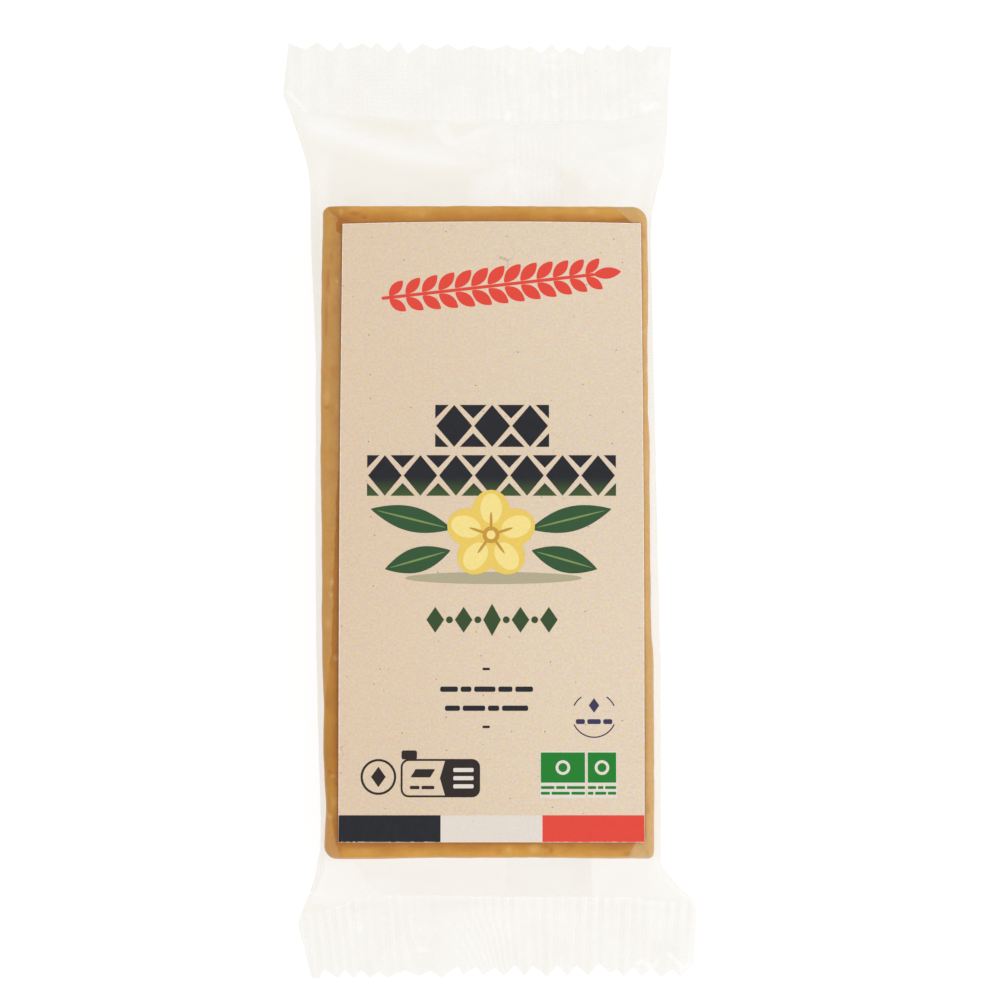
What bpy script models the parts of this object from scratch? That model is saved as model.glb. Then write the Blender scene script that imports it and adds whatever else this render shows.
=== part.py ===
"""Marzipan block in a sealed clear film wrapper, with a paper label on top.

The pack lies flat with its label up. +X runs across it, +Y along it towards the label's head, +Z up.
The origin is the middle of its outline, on the surface that it lies on. Units are metres.
"""

import math

import bmesh
import bpy
import numpy as np

MM = 0.001

# block of marzipan
BLOCK_THICKNESS = 13.0 * MM
BLOCK_HEAD_Y = 74.3 * MM
BLOCK_FOOT_Y = -89.3 * MM
BLOCK_HEAD_LEFT, BLOCK_HEAD_RIGHT = -41.7 * MM, 40.5 * MM
BLOCK_FOOT_LEFT, BLOCK_FOOT_RIGHT = -39.6 * MM, 41.3 * MM
BLOCK_CORNER_RADIUS = 4.0 * MM
BLOCK_UPPER_RADIUS = 2.4 * MM
BLOCK_LOWER_RADIUS = 1.2 * MM
BLOCK_WAVE = 0.18 * MM

# film wrapper: a tube round the block, pressed flat and sealed at both ends
FILM_THICKNESS = 0.35 * MM
GAP = 0.3 * MM
PACK_HALF_LENGTH = 119.1 * MM
HEAD_SEAL_Y = 101.6 * MM
HEAD_SHOULDER_Y = 75.5 * MM
FOOT_SHOULDER_Y = -88.9 * MM
FOOT_SEAL_Y = -99.8 * MM
FILM_CORNER_RADIUS = 3.2 * MM
SEAL_THICKNESS = 0.5 * MM
SEAL_HEIGHT = 4.4 * MM
SEAL_SAG = 1.0 * MM
RIB_DEPTH = 0.25 * MM
TEETH = 19
COLUMNS_PER_TOOTH = 4
TOOTH_DEPTH = 2.6 * MM
BACK_SEAM_X = 12.9 * MM
BACK_SEAM_WIDTH = 12.0 * MM
BACK_SEAM_THICKNESS = 0.3 * MM

# paper label
LABEL_LEFT, LABEL_RIGHT = -36.35 * MM, 39.0 * MM
LABEL_HEAD_Y, LABEL_FOOT_Y = 69.3 * MM, -85.6 * MM
LABEL_THICKNESS = 0.3 * MM
LABEL_OVERLAP = 3.0 * MM
LABEL_SWELL = 0.15 * MM

# sides of the wrapper in plan, as (y, x) from head to foot
LEFT_SIDE = [
    (119.1, -51.7), (108.0, -52.4), (101.6, -51.3), (83.6, -45.5), (75.5, -45.1), (25.2, -43.4),
    (-39.3, -42.7), (-84.0, -41.3), (-91.4, -42.1), (-106.3, -46.9), (-119.1, -43.6),
]
RIGHT_SIDE = [
    (119.1, 47.5), (101.6, 46.4), (87.7, 45.5), (71.6, 41.9), (48.3, 41.9), (-39.3, 43.5),
    (-91.4, 43.2), (-102.6, 52.6), (-119.1, 49.7),
]

BLOCK_BOTTOM_Z = FILM_THICKNESS + GAP
BLOCK_TOP_Z = BLOCK_BOTTOM_Z + BLOCK_THICKNESS
FILM_TOP_Z = BLOCK_TOP_Z + GAP + FILM_THICKNESS
LABEL_BOTTOM_Z = FILM_TOP_Z + GAP


def clear_scene():
    for old in list(bpy.data.objects):
        bpy.data.objects.remove(old, do_unlink=True)


def new_collection(name):
    collection = bpy.data.collections.new(name)
    bpy.context.scene.collection.children.link(collection)
    return collection


def new_material(name, colour, roughness, transmission=0.0):
    material = bpy.data.materials.new(name)
    material.use_nodes = True
    shader = material.node_tree.nodes["Principled BSDF"]
    shader.inputs["Base Color"].default_value = (*colour, 1.0)
    shader.inputs["Roughness"].default_value = roughness
    shader.inputs["Metallic"].default_value = 0.0
    shader.inputs["Transmission Weight"].default_value = transmission
    return material


def object_from(bm, name, collection, material=None):
    bmesh.ops.recalc_face_normals(bm, faces=bm.faces)
    mesh = bpy.data.meshes.new(name)
    bm.to_mesh(mesh)
    bm.free()
    made = bpy.data.objects.new(name, mesh)
    collection.objects.link(made)
    if material:
        mesh.materials.append(material)
    mesh.shade_smooth()
    mesh.set_sharp_from_angle(angle=math.radians(35))
    return made


def blend(start, end, share):
    """Straight mix of two values, share 0 to 1."""
    return start + (end - start) * share


def ease(share):
    """Smooth rise from 0 to 1, level at both ends."""
    share = min(max(share, 0.0), 1.0)
    return share * share * (3 - 2 * share)


def edges_along(bm, keep):
    """Edges whose two ends both satisfy keep, a test on a corner's place."""
    return [edge for edge in bm.edges if all(keep(corner.co) for corner in edge.verts)]


def block_shape(grow):
    """A rounded slab in unit plan, bent to the block's sides. grow moves every face outwards."""
    bm = bmesh.new()
    bmesh.ops.create_cube(bm, size=1.0)
    length = BLOCK_HEAD_Y - BLOCK_FOOT_Y + 2 * grow
    width = BLOCK_HEAD_RIGHT - BLOCK_HEAD_LEFT + 2 * grow
    bmesh.ops.scale(bm, vec=(width, length, BLOCK_THICKNESS + 2 * grow), verts=bm.verts)
    uprights = [edge for edge in bm.edges if abs(edge.verts[0].co.z - edge.verts[1].co.z) > GAP]
    bmesh.ops.bevel(
        bm, geom=uprights, offset=BLOCK_CORNER_RADIUS + grow, segments=5, profile=0.5, affect="EDGES"
    )
    for side, radius, segments in ((1, BLOCK_UPPER_RADIUS, 4), (-1, BLOCK_LOWER_RADIUS, 2)):
        rim = edges_along(bm, lambda place, side=side: place.z * side > BLOCK_THICKNESS / 2 - GAP)
        bmesh.ops.bevel(
            bm, geom=rim, offset=radius + grow, segments=segments, profile=0.5, affect="EDGES"
        )
    for axis, cuts in ((1, 14), (0, 6)):
        for number in range(1, cuts):
            place = [0.0, 0.0, 0.0]
            normal = [0.0, 0.0, 0.0]
            reach = (width, length)[axis]
            place[axis] = (number / cuts - 0.5) * reach
            normal[axis] = 1.0
            bmesh.ops.bisect_plane(
                bm, geom=bm.verts[:] + bm.edges[:] + bm.faces[:], plane_co=place, plane_no=normal
            )
    for vert in bm.verts:
        across = vert.co.x / width + 0.5
        along = vert.co.y / length + 0.5
        left = blend(BLOCK_FOOT_LEFT, BLOCK_HEAD_LEFT, along) - grow
        right = blend(BLOCK_FOOT_RIGHT, BLOCK_HEAD_RIGHT, along) + grow
        wave = BLOCK_WAVE * math.sin(along * 17.0 + 1.0) * (2 * across - 1)
        vert.co.x = blend(left, right, across) + wave
        vert.co.y += (BLOCK_HEAD_Y + BLOCK_FOOT_Y) / 2 + BLOCK_WAVE * math.sin(across * 9.0)
        vert.co.z += BLOCK_BOTTOM_Z + BLOCK_THICKNESS / 2
    return bm


def side_of(profile, y):
    """x of one side of the wrapper at y, from its outline points."""
    ys = [point[0] * MM for point in reversed(profile)]
    xs = [point[1] * MM for point in reversed(profile)]
    return float(np.interp(y, ys, xs))


def openness(y):
    """How far the tube is open at y: 1 round the block, 0 where it is sealed flat."""
    if y > HEAD_SHOULDER_Y:
        return max(0.0, (HEAD_SEAL_Y - y) / (HEAD_SEAL_Y - HEAD_SHOULDER_Y))
    if y < FOOT_SHOULDER_Y:
        return max(0.0, (y - FOOT_SEAL_Y) / (FOOT_SHOULDER_Y - FOOT_SEAL_Y))
    return 1.0


def seal_height(y):
    """Height of the sealed sheet's middle, which hangs a little lower towards its free end."""
    inner = HEAD_SEAL_Y if y > 0 else -FOOT_SEAL_Y
    beyond = max(0.0, abs(y) - inner) / (PACK_HALF_LENGTH - inner)
    return SEAL_HEIGHT - SEAL_SAG * beyond


def wrapper_rows():
    """y of each row of the wrapper's mesh, from foot to head."""
    zones = [
        (-PACK_HALF_LENGTH, FOOT_SEAL_Y, 4),
        (FOOT_SEAL_Y, FOOT_SHOULDER_Y, 4),
        (FOOT_SHOULDER_Y, HEAD_SHOULDER_Y, 7),
        (HEAD_SHOULDER_Y, HEAD_SEAL_Y, 7),
        (HEAD_SEAL_Y, PACK_HALF_LENGTH, 4),
    ]
    rows = [-PACK_HALF_LENGTH]
    for start, end, count in zones:
        rows += [blend(start, end, (number + 1) / count) for number in range(count)]
    return rows


def wrapper_point(row_y, column, columns, upper):
    """Place of one point of the wrapper's upper or lower sheet."""
    open_share = openness(row_y)
    sealed = 1.0 - ease(open_share * 4)
    left, right = side_of(LEFT_SIDE, row_y), side_of(RIGHT_SIDE, row_y)
    across = 2 * column / columns - 1
    gathered = math.sin(across * math.pi / 2)
    across = blend(gathered, across, blend(0.25, 1.0, sealed))
    half = (right - left) / 2
    x = (left + right) / 2 + half * across

    middle = seal_height(row_y)
    low = blend(middle - SEAL_THICKNESS / 2, 0.0, ease(open_share * 1.02))
    high = blend(middle + SEAL_THICKNESS / 2, FILM_TOP_Z, open_share)
    radius = min(FILM_CORNER_RADIUS, (high - low) * 0.42)
    inwards = radius - half * (1 - abs(across))
    drop = radius - math.sqrt(max(radius**2 - max(inwards, 0.0) ** 2, 0.0))
    if upper:
        z = high - drop
    else:
        z = low + drop
        if abs(x - BACK_SEAM_X) < BACK_SEAM_WIDTH / 2:
            z = max(z - BACK_SEAM_THICKNESS, 0.0)
    z += RIB_DEPTH * sealed * (1 if column % 2 else -1)

    y = row_y
    if abs(row_y) >= PACK_HALF_LENGTH:
        half_tooth = COLUMNS_PER_TOOTH / 2
        notch = abs(column % COLUMNS_PER_TOOTH - half_tooth) / half_tooth
        y -= math.copysign(TOOTH_DEPTH * notch, row_y)
    return x, y, z


def wrapper_shape():
    """A flat grid made into a slab, then each of its points moved to its place on the pack."""
    rows = wrapper_rows()
    columns = TEETH * COLUMNS_PER_TOOTH
    bm = bmesh.new()
    bmesh.ops.create_grid(bm, x_segments=columns, y_segments=len(rows) - 1, size=0.5)
    lower = list(bm.verts)
    lifted = bmesh.ops.extrude_face_region(bm, geom=bm.faces[:])
    upper = {part for part in lifted["geom"] if isinstance(part, bmesh.types.BMVert)}
    places = {}
    for vert in lower + list(upper):
        column = round((vert.co.x + 0.5) * columns)
        row = round((vert.co.y + 0.5) * (len(rows) - 1))
        places[vert] = wrapper_point(rows[row], column, columns, vert in upper)
    for vert, place in places.items():
        vert.co = place
    return bm


def pocket_window():
    """The opening in the upper sheet, hidden by the label."""
    bm = bmesh.new()
    bmesh.ops.create_cube(bm, size=1.0)
    width = LABEL_RIGHT - LABEL_LEFT - 2 * LABEL_OVERLAP
    length = LABEL_HEAD_Y - LABEL_FOOT_Y - 2 * LABEL_OVERLAP
    bmesh.ops.scale(bm, vec=(width, length, 4 * MM), verts=bm.verts)
    middle = ((LABEL_LEFT + LABEL_RIGHT) / 2, (LABEL_HEAD_Y + LABEL_FOOT_Y) / 2, BLOCK_TOP_Z)
    bmesh.ops.translate(bm, vec=middle, verts=bm.verts)
    return bm


def label_shape():
    """A sheet of paper that swells a little over the block's uneven top."""
    bm = bmesh.new()
    bmesh.ops.create_grid(bm, x_segments=8, y_segments=16, size=0.5)
    for vert in bm.verts:
        across, along = vert.co.x + 0.5, vert.co.y + 0.5
        x = blend(LABEL_LEFT, LABEL_RIGHT, across)
        y = blend(LABEL_FOOT_Y, LABEL_HEAD_Y, along)
        swell = math.sin(math.pi * across) * math.sin(math.pi * along)
        vert.co = (x, y, LABEL_BOTTOM_Z + LABEL_SWELL * swell)
    return bm


def cut(target, cutter):
    boolean = target.modifiers.new("cut " + cutter.name, "BOOLEAN")
    boolean.operation = "DIFFERENCE"
    boolean.solver = "EXACT"
    boolean.object = cutter
    cutter.hide_render = True
    cutter.display_type = "WIRE"


def build_block(parts):
    marzipan = new_material("marzipan", (0.62, 0.36, 0.13), 0.55)
    return object_from(block_shape(0.0), "marzipan_block", parts, marzipan)


def build_wrapper(parts, cutters):
    film = new_material("clear film", (0.95, 0.93, 0.90), 0.12, transmission=0.9)
    wrapper = object_from(wrapper_shape(), "film_wrapper", parts, film)
    cut(wrapper, object_from(block_shape(GAP), "pocket", cutters))
    cut(wrapper, object_from(pocket_window(), "pocket_window", cutters))
    return wrapper


def build_label(parts):
    paper = new_material("label paper", (0.74, 0.62, 0.47), 0.7)
    label = object_from(label_shape(), "paper_label", parts, paper)
    sheet = label.modifiers.new("paper", "SOLIDIFY")
    sheet.thickness = LABEL_THICKNESS
    sheet.offset = 1.0
    return label


def main():
    clear_scene()
    parts = new_collection("marzipan_pack")
    cutters = new_collection("cutters")
    build_block(parts)
    build_wrapper(parts, cutters)
    build_label(parts)


main()
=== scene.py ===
import math

import bpy
import numpy as np
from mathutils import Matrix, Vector


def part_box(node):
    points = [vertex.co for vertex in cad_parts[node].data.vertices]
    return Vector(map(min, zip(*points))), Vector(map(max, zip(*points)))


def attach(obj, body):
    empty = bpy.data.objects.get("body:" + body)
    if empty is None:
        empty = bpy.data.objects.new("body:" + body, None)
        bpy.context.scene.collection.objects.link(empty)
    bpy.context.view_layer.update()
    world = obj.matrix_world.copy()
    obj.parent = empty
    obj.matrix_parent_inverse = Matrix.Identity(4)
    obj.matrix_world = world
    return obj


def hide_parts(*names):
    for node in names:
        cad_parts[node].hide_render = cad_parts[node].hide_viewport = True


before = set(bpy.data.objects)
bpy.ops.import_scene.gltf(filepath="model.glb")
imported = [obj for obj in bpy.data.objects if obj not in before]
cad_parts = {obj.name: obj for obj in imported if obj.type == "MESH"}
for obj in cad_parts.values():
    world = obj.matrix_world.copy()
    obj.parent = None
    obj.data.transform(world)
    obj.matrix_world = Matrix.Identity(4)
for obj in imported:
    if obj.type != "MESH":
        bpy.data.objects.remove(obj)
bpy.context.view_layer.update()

mm = 0.001

print("stage 1: helpers and shared node groups")


# a node's box in millimetres, as (low, high)
def boxOf(node):
    low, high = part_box(node)
    return np.array(low) / mm, np.array(high) / mm


def easeIn(share):
    share = np.clip(share, 0.0, 1.0)
    return share * share * (3 - 2 * share)


def mix(start, end, share):
    return start + (end - start) * share


# soft noise from -1 to 1 on a lattice of square cells, for whole arrays at once
def softNoise(x, y, cell, seed):
    draw = np.random.default_rng(seed).uniform(-1, 1, (256, 256))
    u, v = np.asarray(x) / cell + 1000.37, np.asarray(y) / cell + 1000.71
    column, row = np.floor(u).astype(int), np.floor(v).astype(int)
    a, b = easeIn(u - column), easeIn(v - row)
    c0, c1, r0, r1 = column % 256, (column + 1) % 256, row % 256, (row + 1) % 256
    return mix(mix(draw[r0, c0], draw[r0, c1], a), mix(draw[r1, c0], draw[r1, c1], a), b)


# value read off a line of (place, value) points whose bends are rounded over a reach
def softLine(points, at, reach=4.0):
    places, values = zip(*points)
    dense = np.arange(places[0] - reach, places[-1] + reach, 0.25)
    window = np.hanning(int(reach / 0.25) * 2 + 1)
    padded = np.pad(np.interp(dense, places, values), len(window) // 2, mode="edge")
    return np.interp(at, dense, np.convolve(padded, window / window.sum(), mode="valid"))


# distance to a line of straight stretches, and how far along it (0 to 1)
def alongLine(x, y, points):
    reach = [math.dist(a, b) for a, b in zip(points, points[1:])]
    nearest, share, gone = np.full(np.shape(x), 1e9), np.zeros(np.shape(x)), 0.0
    for (ax, ay), (bx, by), length in zip(points, points[1:], reach):
        t = np.clip(((x - ax) * (bx - ax) + (y - ay) * (by - ay)) / length**2, 0, 1)
        away = np.hypot(x - mix(ax, bx, t), y - mix(ay, by, t))
        closer = away < nearest
        nearest = np.where(closer, away, nearest)
        share = np.where(closer, (gone + t * length) / sum(reach), share)
        gone += length
    return nearest, share


# 1 inside a closed outline and 0 outside it, with a soft edge
def insideOf(x, y, points, soft):
    away = alongLine(x, y, points + points[:1])[0]
    inside = np.zeros(np.shape(x), dtype=bool)
    for (ax, ay), (bx, by) in zip(points, points[1:] + points[:1]):
        inside ^= ((ay > y) != (by > y)) & (x < ax + (y - ay) * (bx - ax) / (by - ay + 1e-9))
    return easeIn(0.5 + np.where(inside, away, -away) / soft)


# a new object from points in millimetres and faces as lists of point numbers
def makePiece(name, points, faces, materials, sharp=40, values=None):
    mesh = bpy.data.meshes.new(name)
    mesh.from_pydata((np.asarray(points) * mm).tolist(), [], faces)
    mesh.update()
    piece = bpy.data.objects.new(name, mesh)
    bpy.context.scene.collection.objects.link(piece)
    for material in materials:
        mesh.materials.append(material)
    for label, levels in (values or {}).items():
        attribute = mesh.attributes.new(label, "FLOAT", "POINT")
        attribute.data.foreach_set("value", np.asarray(levels, dtype=np.float32).ravel())
    mesh.shade_smooth()
    mesh.set_sharp_from_angle(angle=math.radians(sharp))
    return piece


# closed slab between two grids of points, each of rows from foot to head and columns from left to right
def slabFaces(rows, columns):
    over = np.arange(rows * columns).reshape(rows, columns)
    under = over + rows * columns
    a, b, c, d = over[:-1, :-1], over[:-1, 1:], over[1:, 1:], over[1:, :-1]
    e, f, g, h = under[:-1, :-1], under[:-1, 1:], under[1:, 1:], under[1:, :-1]
    sides = [np.stack(corners, -1).reshape(-1, 4) for corners in (
        (a, b, c, d), (h, g, f, e),
        (over[:-1, 0], over[1:, 0], under[1:, 0], under[:-1, 0]),
        (under[:-1, -1], under[1:, -1], over[1:, -1], over[:-1, -1]),
        (over[0, :-1], under[0, :-1], under[0, 1:], over[0, 1:]),
        (over[-1, 1:], under[-1, 1:], under[-1, :-1], over[-1, :-1]),
    )]
    return np.concatenate(sides).tolist()


def slabPoints(x, y, upper, lower):
    return np.concatenate([np.stack([x, y, z], -1).reshape(-1, 3) for z in (upper, lower)])


# a node with its settings, and its inputs given as values or as sockets to link
def addNode(tree, kind, inputs=None, **settings):
    node = tree.nodes.new(kind)
    for name, value in settings.items():
        setattr(node, name, value)
    for name, value in (inputs or {}).items():
        if isinstance(value, bpy.types.NodeSocket):
            tree.links.new(value, node.inputs[name])
        else:
            node.inputs[name].default_value = value
    return node


def mathNode(tree, operation, first, second=0.0, third=0.0, clamp=False):
    inputs = {0: first, 1: second, 2: third}
    return addNode(tree, "ShaderNodeMath", inputs, operation=operation, use_clamp=clamp).outputs[0]


def mixColour(tree, share, first, second, blend="MIX"):
    inputs = {"Factor": share, 6: first, 7: second}
    return addNode(tree, "ShaderNodeMix", inputs, data_type="RGBA", blend_type=blend).outputs[2]


# the colour made lighter or darker by a grey that varies over the surface
def shadeColour(tree, base, level):
    grey = addNode(tree, "ShaderNodeCombineColor", {0: level, 1: level, 2: level}).outputs[0]
    return mixColour(tree, 1.0, base, grey, "MULTIPLY")


def mapRange(tree, value, low, high, toLow=0.0, toHigh=1.0, smooth=False):
    kind = "SMOOTHSTEP" if smooth else "LINEAR"
    inputs = {"Value": value, "From Min": low, "From Max": high, "To Min": toLow, "To Max": toHigh}
    return addNode(tree, "ShaderNodeMapRange", inputs, interpolation_type=kind).outputs["Result"]


def noiseNode(tree, where, scale, detail=2.0, roughness=0.5):
    inputs = {"Vector": where, "Scale": scale, "Detail": detail, "Roughness": roughness}
    return addNode(tree, "ShaderNodeTexNoise", inputs).outputs["Fac"]


def valueOf(tree, label):
    return addNode(tree, "ShaderNodeAttribute", attribute_name=label).outputs["Fac"]


# a piece's own coordinates, whole and split
def placeOf(tree):
    where = addNode(tree, "ShaderNodeTexCoord").outputs["Object"]
    return where, addNode(tree, "ShaderNodeSeparateXYZ", {0: where})


def newMaterial(name):
    material = bpy.data.materials.new(name)
    material.use_nodes = True
    tree = material.node_tree
    return material, tree, tree.nodes["Principled BSDF"]


def newGroup(name, inputs, outputs):
    group = bpy.data.node_groups.new(name, "ShaderNodeTree")
    for label, kind, value in inputs:
        group.interface.new_socket(label, in_out="INPUT", socket_type=kind).default_value = value
    for label, kind in outputs:
        group.interface.new_socket(label, in_out="OUTPUT", socket_type=kind)
    return group, group.nodes.new("NodeGroupInput"), group.nodes.new("NodeGroupOutput")


def srgb(red, green, blue):
    parts = []
    for level in (red, green, blue):
        level /= 255
        parts.append(level / 12.92 if level <= 0.04045 else ((level + 0.055) / 1.055) ** 2.4)
    return (*parts, 1.0)


colourSocket, floatSocket, vectorSocket = "NodeSocketColor", "NodeSocketFloat", "NodeSocketVector"


# fibres, mottling and specks of uncoated paper, which also show through the inks
paperFinish = {
    "fine": 1600.0, "broad": 420.0,                                  # scales of its noise
    "warm": (1.0, 0.95, 0.95, 1.0), "cool": (0.99, 1.0, 0.96, 1.0),  # mottling
    # soft yellow specks in several sizes and rare dark ones, on loose grids turned by an angle and drawn
    # out along it: angle, length, cells per metre, looseness, radius, share left out, tint, strength
    "specks": [
        (0.75, 1.7, 520.0, 0.80, 0.070, 0.25, srgb(234, 204, 108), 0.80),
        (0.95, 1.3, 360.0, 0.90, 0.065, 0.45, srgb(236, 204, 100), 0.85),
        (0.60, 2.0, 680.0, 1.00, 0.085, 0.65, srgb(230, 202, 136), 0.60),
        (0.00, 1.0, 115.0, 1.00, 0.016, 0.45, srgb(118, 72, 62), 0.90),
        (0.30, 1.4, 150.0, 1.00, 0.015, 0.75, srgb(166, 96, 80), 0.80),
    ],
    # hair-thin fibres: scale of their lines, cells that cut them, share left out, tint, strength
    "hairs": (260.0, 170.0, 0.985, srgb(120, 88, 74), 0.40),
    "reliefStrength": 0.25, "reliefHeight": 0.04 * mm,
}


# cells of a loose grid: the distance to each one's middle and a number drawn for each
def looseCells(group, where, scale, loose=1.0):
    cells = addNode(group, "ShaderNodeTexVoronoi", {"Vector": where, "Scale": scale, "Randomness": loose},
                    voronoi_dimensions="2D")
    drawn = addNode(group, "ShaderNodeSeparateColor", {0: cells.outputs["Color"]}).outputs[0]
    return cells.outputs["Distance"], drawn


def paperGrainGroup():
    group, start, end = newGroup(
        "paperGrain",
        [("Colour", colourSocket, (0.8, 0.7, 0.6, 1)), ("Specks", floatSocket, 1.0),
         ("Mottle", floatSocket, 1.0), ("Relief", floatSocket, 1.0)],
        [("Colour", colourSocket), ("Roughness", floatSocket), ("Normal", vectorSocket)],
    )
    where = addNode(group, "ShaderNodeTexCoord").outputs["Object"]
    specks = start.outputs["Specks"]
    fine = noiseNode(group, where, paperFinish["fine"], 2.0, 0.6)
    broad = noiseNode(group, where, paperFinish["broad"], 3.0, 0.6)
    warm = mixColour(group, mapRange(group, broad, 0.36, 0.64), paperFinish["warm"], paperFinish["cool"])
    toned = shadeColour(group, warm, mapRange(group, fine, 0.25, 0.75, 0.92, 1.08))
    mottled = mixColour(group, start.outputs["Mottle"], (1, 1, 1, 1), toned)
    base = mixColour(group, 1.0, start.outputs["Colour"], mottled, "MULTIPLY")
    for turn, length, scale, loose, radius, leftOut, tint, strength in paperFinish["specks"]:
        turned = addNode(group, "ShaderNodeVectorRotate", {"Vector": where, "Angle": turn},
                         rotation_type="Z_AXIS").outputs[0]
        turned = addNode(group, "ShaderNodeVectorMath", {0: turned, 1: (1 / length, 1.0, 1.0)},
                         operation="MULTIPLY").outputs[0]
        away, drawn = looseCells(group, turned, scale, loose)
        dot = mapRange(group, away, radius * 0.4, radius * 1.7, 1.0, 0.0, True)
        chosen = mapRange(group, drawn, leftOut, leftOut + 0.15, 0.0, strength)
        amount = mathNode(group, "MULTIPLY", mathNode(group, "MULTIPLY", dot, chosen), specks)
        base = mixColour(group, amount, base, tint)
    # a few short fibres, cut out of the contour lines of a slow noise
    lineScale, cellScale, leftOut, tint, strength = paperFinish["hairs"]
    contour = mathNode(group, "SUBTRACT", noiseNode(group, where, lineScale, 0.0), 0.5)
    hair = mapRange(group, mathNode(group, "ABSOLUTE", contour), 0.002, 0.007, strength, 0.0)
    away, drawn = looseCells(group, where, cellScale)
    hair = mathNode(group, "MULTIPLY", hair, mathNode(group, "GREATER_THAN", drawn, leftOut))
    base = mixColour(group, mathNode(group, "MULTIPLY", hair, specks), base, tint)
    rough = mapRange(group, broad, 0.3, 0.7, 0.62, 0.78)
    height = mathNode(group, "MULTIPLY_ADD", fine, 0.7, mathNode(group, "MULTIPLY", broad, 0.6))
    strength = mathNode(group, "MULTIPLY", start.outputs["Relief"], paperFinish["reliefStrength"])
    bump = addNode(group, "ShaderNodeBump",
                   {"Height": height, "Strength": strength, "Distance": paperFinish["reliefHeight"]})
    group.links.new(base, end.inputs["Colour"])
    group.links.new(rough, end.inputs["Roughness"])
    group.links.new(bump.outputs["Normal"], end.inputs["Normal"])
    return group


# where the film stands off the paste: on the left of one wandering line and on the right of another
lift = {
    "foot": -92.0, "head": 76.0,
    "leftRange": (-44.0, -34.0), "rightRange": (28.0, 44.0),
    # (y, x) of each line, mm
    "left": [(-92.0, -35.4), (-89.2, -36.1), (-78.9, -38.6), (-77.2, -39.3), (-75.8, -42.0), (-55.0, -42.0),
             (-53.4, -40.4), (-45.9, -39.3), (-38.3, -38.4), (-31.8, -38.3), (-16.6, -38.0), (0.0, -37.5),
             (6.5, -37.0), (10.5, -35.6), (66.6, -35.6), (67.4, -38.0), (69.6, -38.1), (70.4, -37.1),
             (72.8, -39.7), (74.1, -40.9), (76.0, -43.0)],
    "right": [(-92.0, 34.6), (-89.4, 35.2), (-88.2, 35.6), (-85.5, 37.1), (-84.4, 38.6), (68.8, 38.6),
              (69.9, 36.8), (73.5, 32.5), (76.0, 29.6)],
    "waver": 0.25, "softness": 0.35,
}


def liftedFilmGroup():
    group, start, end = newGroup("liftedFilm", [("Softness", floatSocket, lift["softness"])],
                                 [("Left", floatSocket), ("Right", floatSocket)])
    where, place = placeOf(group)
    across = mathNode(group, "DIVIDE", place.outputs["X"], mm)
    along = mathNode(group, "DIVIDE", place.outputs["Y"], mm)
    share = mapRange(group, along, lift["foot"], lift["head"])
    waver = mapRange(group, noiseNode(group, where, 420.0, 2.0), 0.3, 0.7, -lift["waver"], lift["waver"])
    outer = mathNode(group, "MULTIPLY", start.outputs["Softness"], 0.5)
    inner = mathNode(group, "MULTIPLY", start.outputs["Softness"], -0.5)
    for side, sign in (("left", -1.0), ("right", 1.0)):
        low, high = lift[side + "Range"]
        curve = addNode(group, "ShaderNodeFloatCurve", {"Value": share})
        line = curve.mapping.curves[0]
        spots = [((y - lift["foot"]) / (lift["head"] - lift["foot"]), (x - low) / (high - low))
                 for y, x in lift[side]]
        line.points[0].location, line.points[1].location = spots[0], spots[-1]
        for spot in spots[1:-1]:
            line.points.new(*spot)
        for point in line.points:
            point.handle_type = "VECTOR"
        curve.mapping.update()
        limit = mathNode(group, "MULTIPLY_ADD", curve.outputs[0], high - low, low)
        past = mathNode(group, "SUBTRACT", mathNode(group, "ADD", across, waver), limit)
        mask = mapRange(group, mathNode(group, "MULTIPLY", past, sign), inner, outer, 0.0, 1.0, True)
        for limitY, fade in ((lift["head"], 1.0), (lift["foot"], -1.0)):
            within = mapRange(group, along, limitY - fade, limitY + fade * 0.5, 1.0, 0.0, True)
            mask = mathNode(group, "MULTIPLY", mask, within)
        group.links.new(mask, end.inputs[side.capitalize()])
    return group


paperGrain = paperGrainGroup()
liftedFilm = liftedFilmGroup()

print("stage 2: marzipan block")

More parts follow.
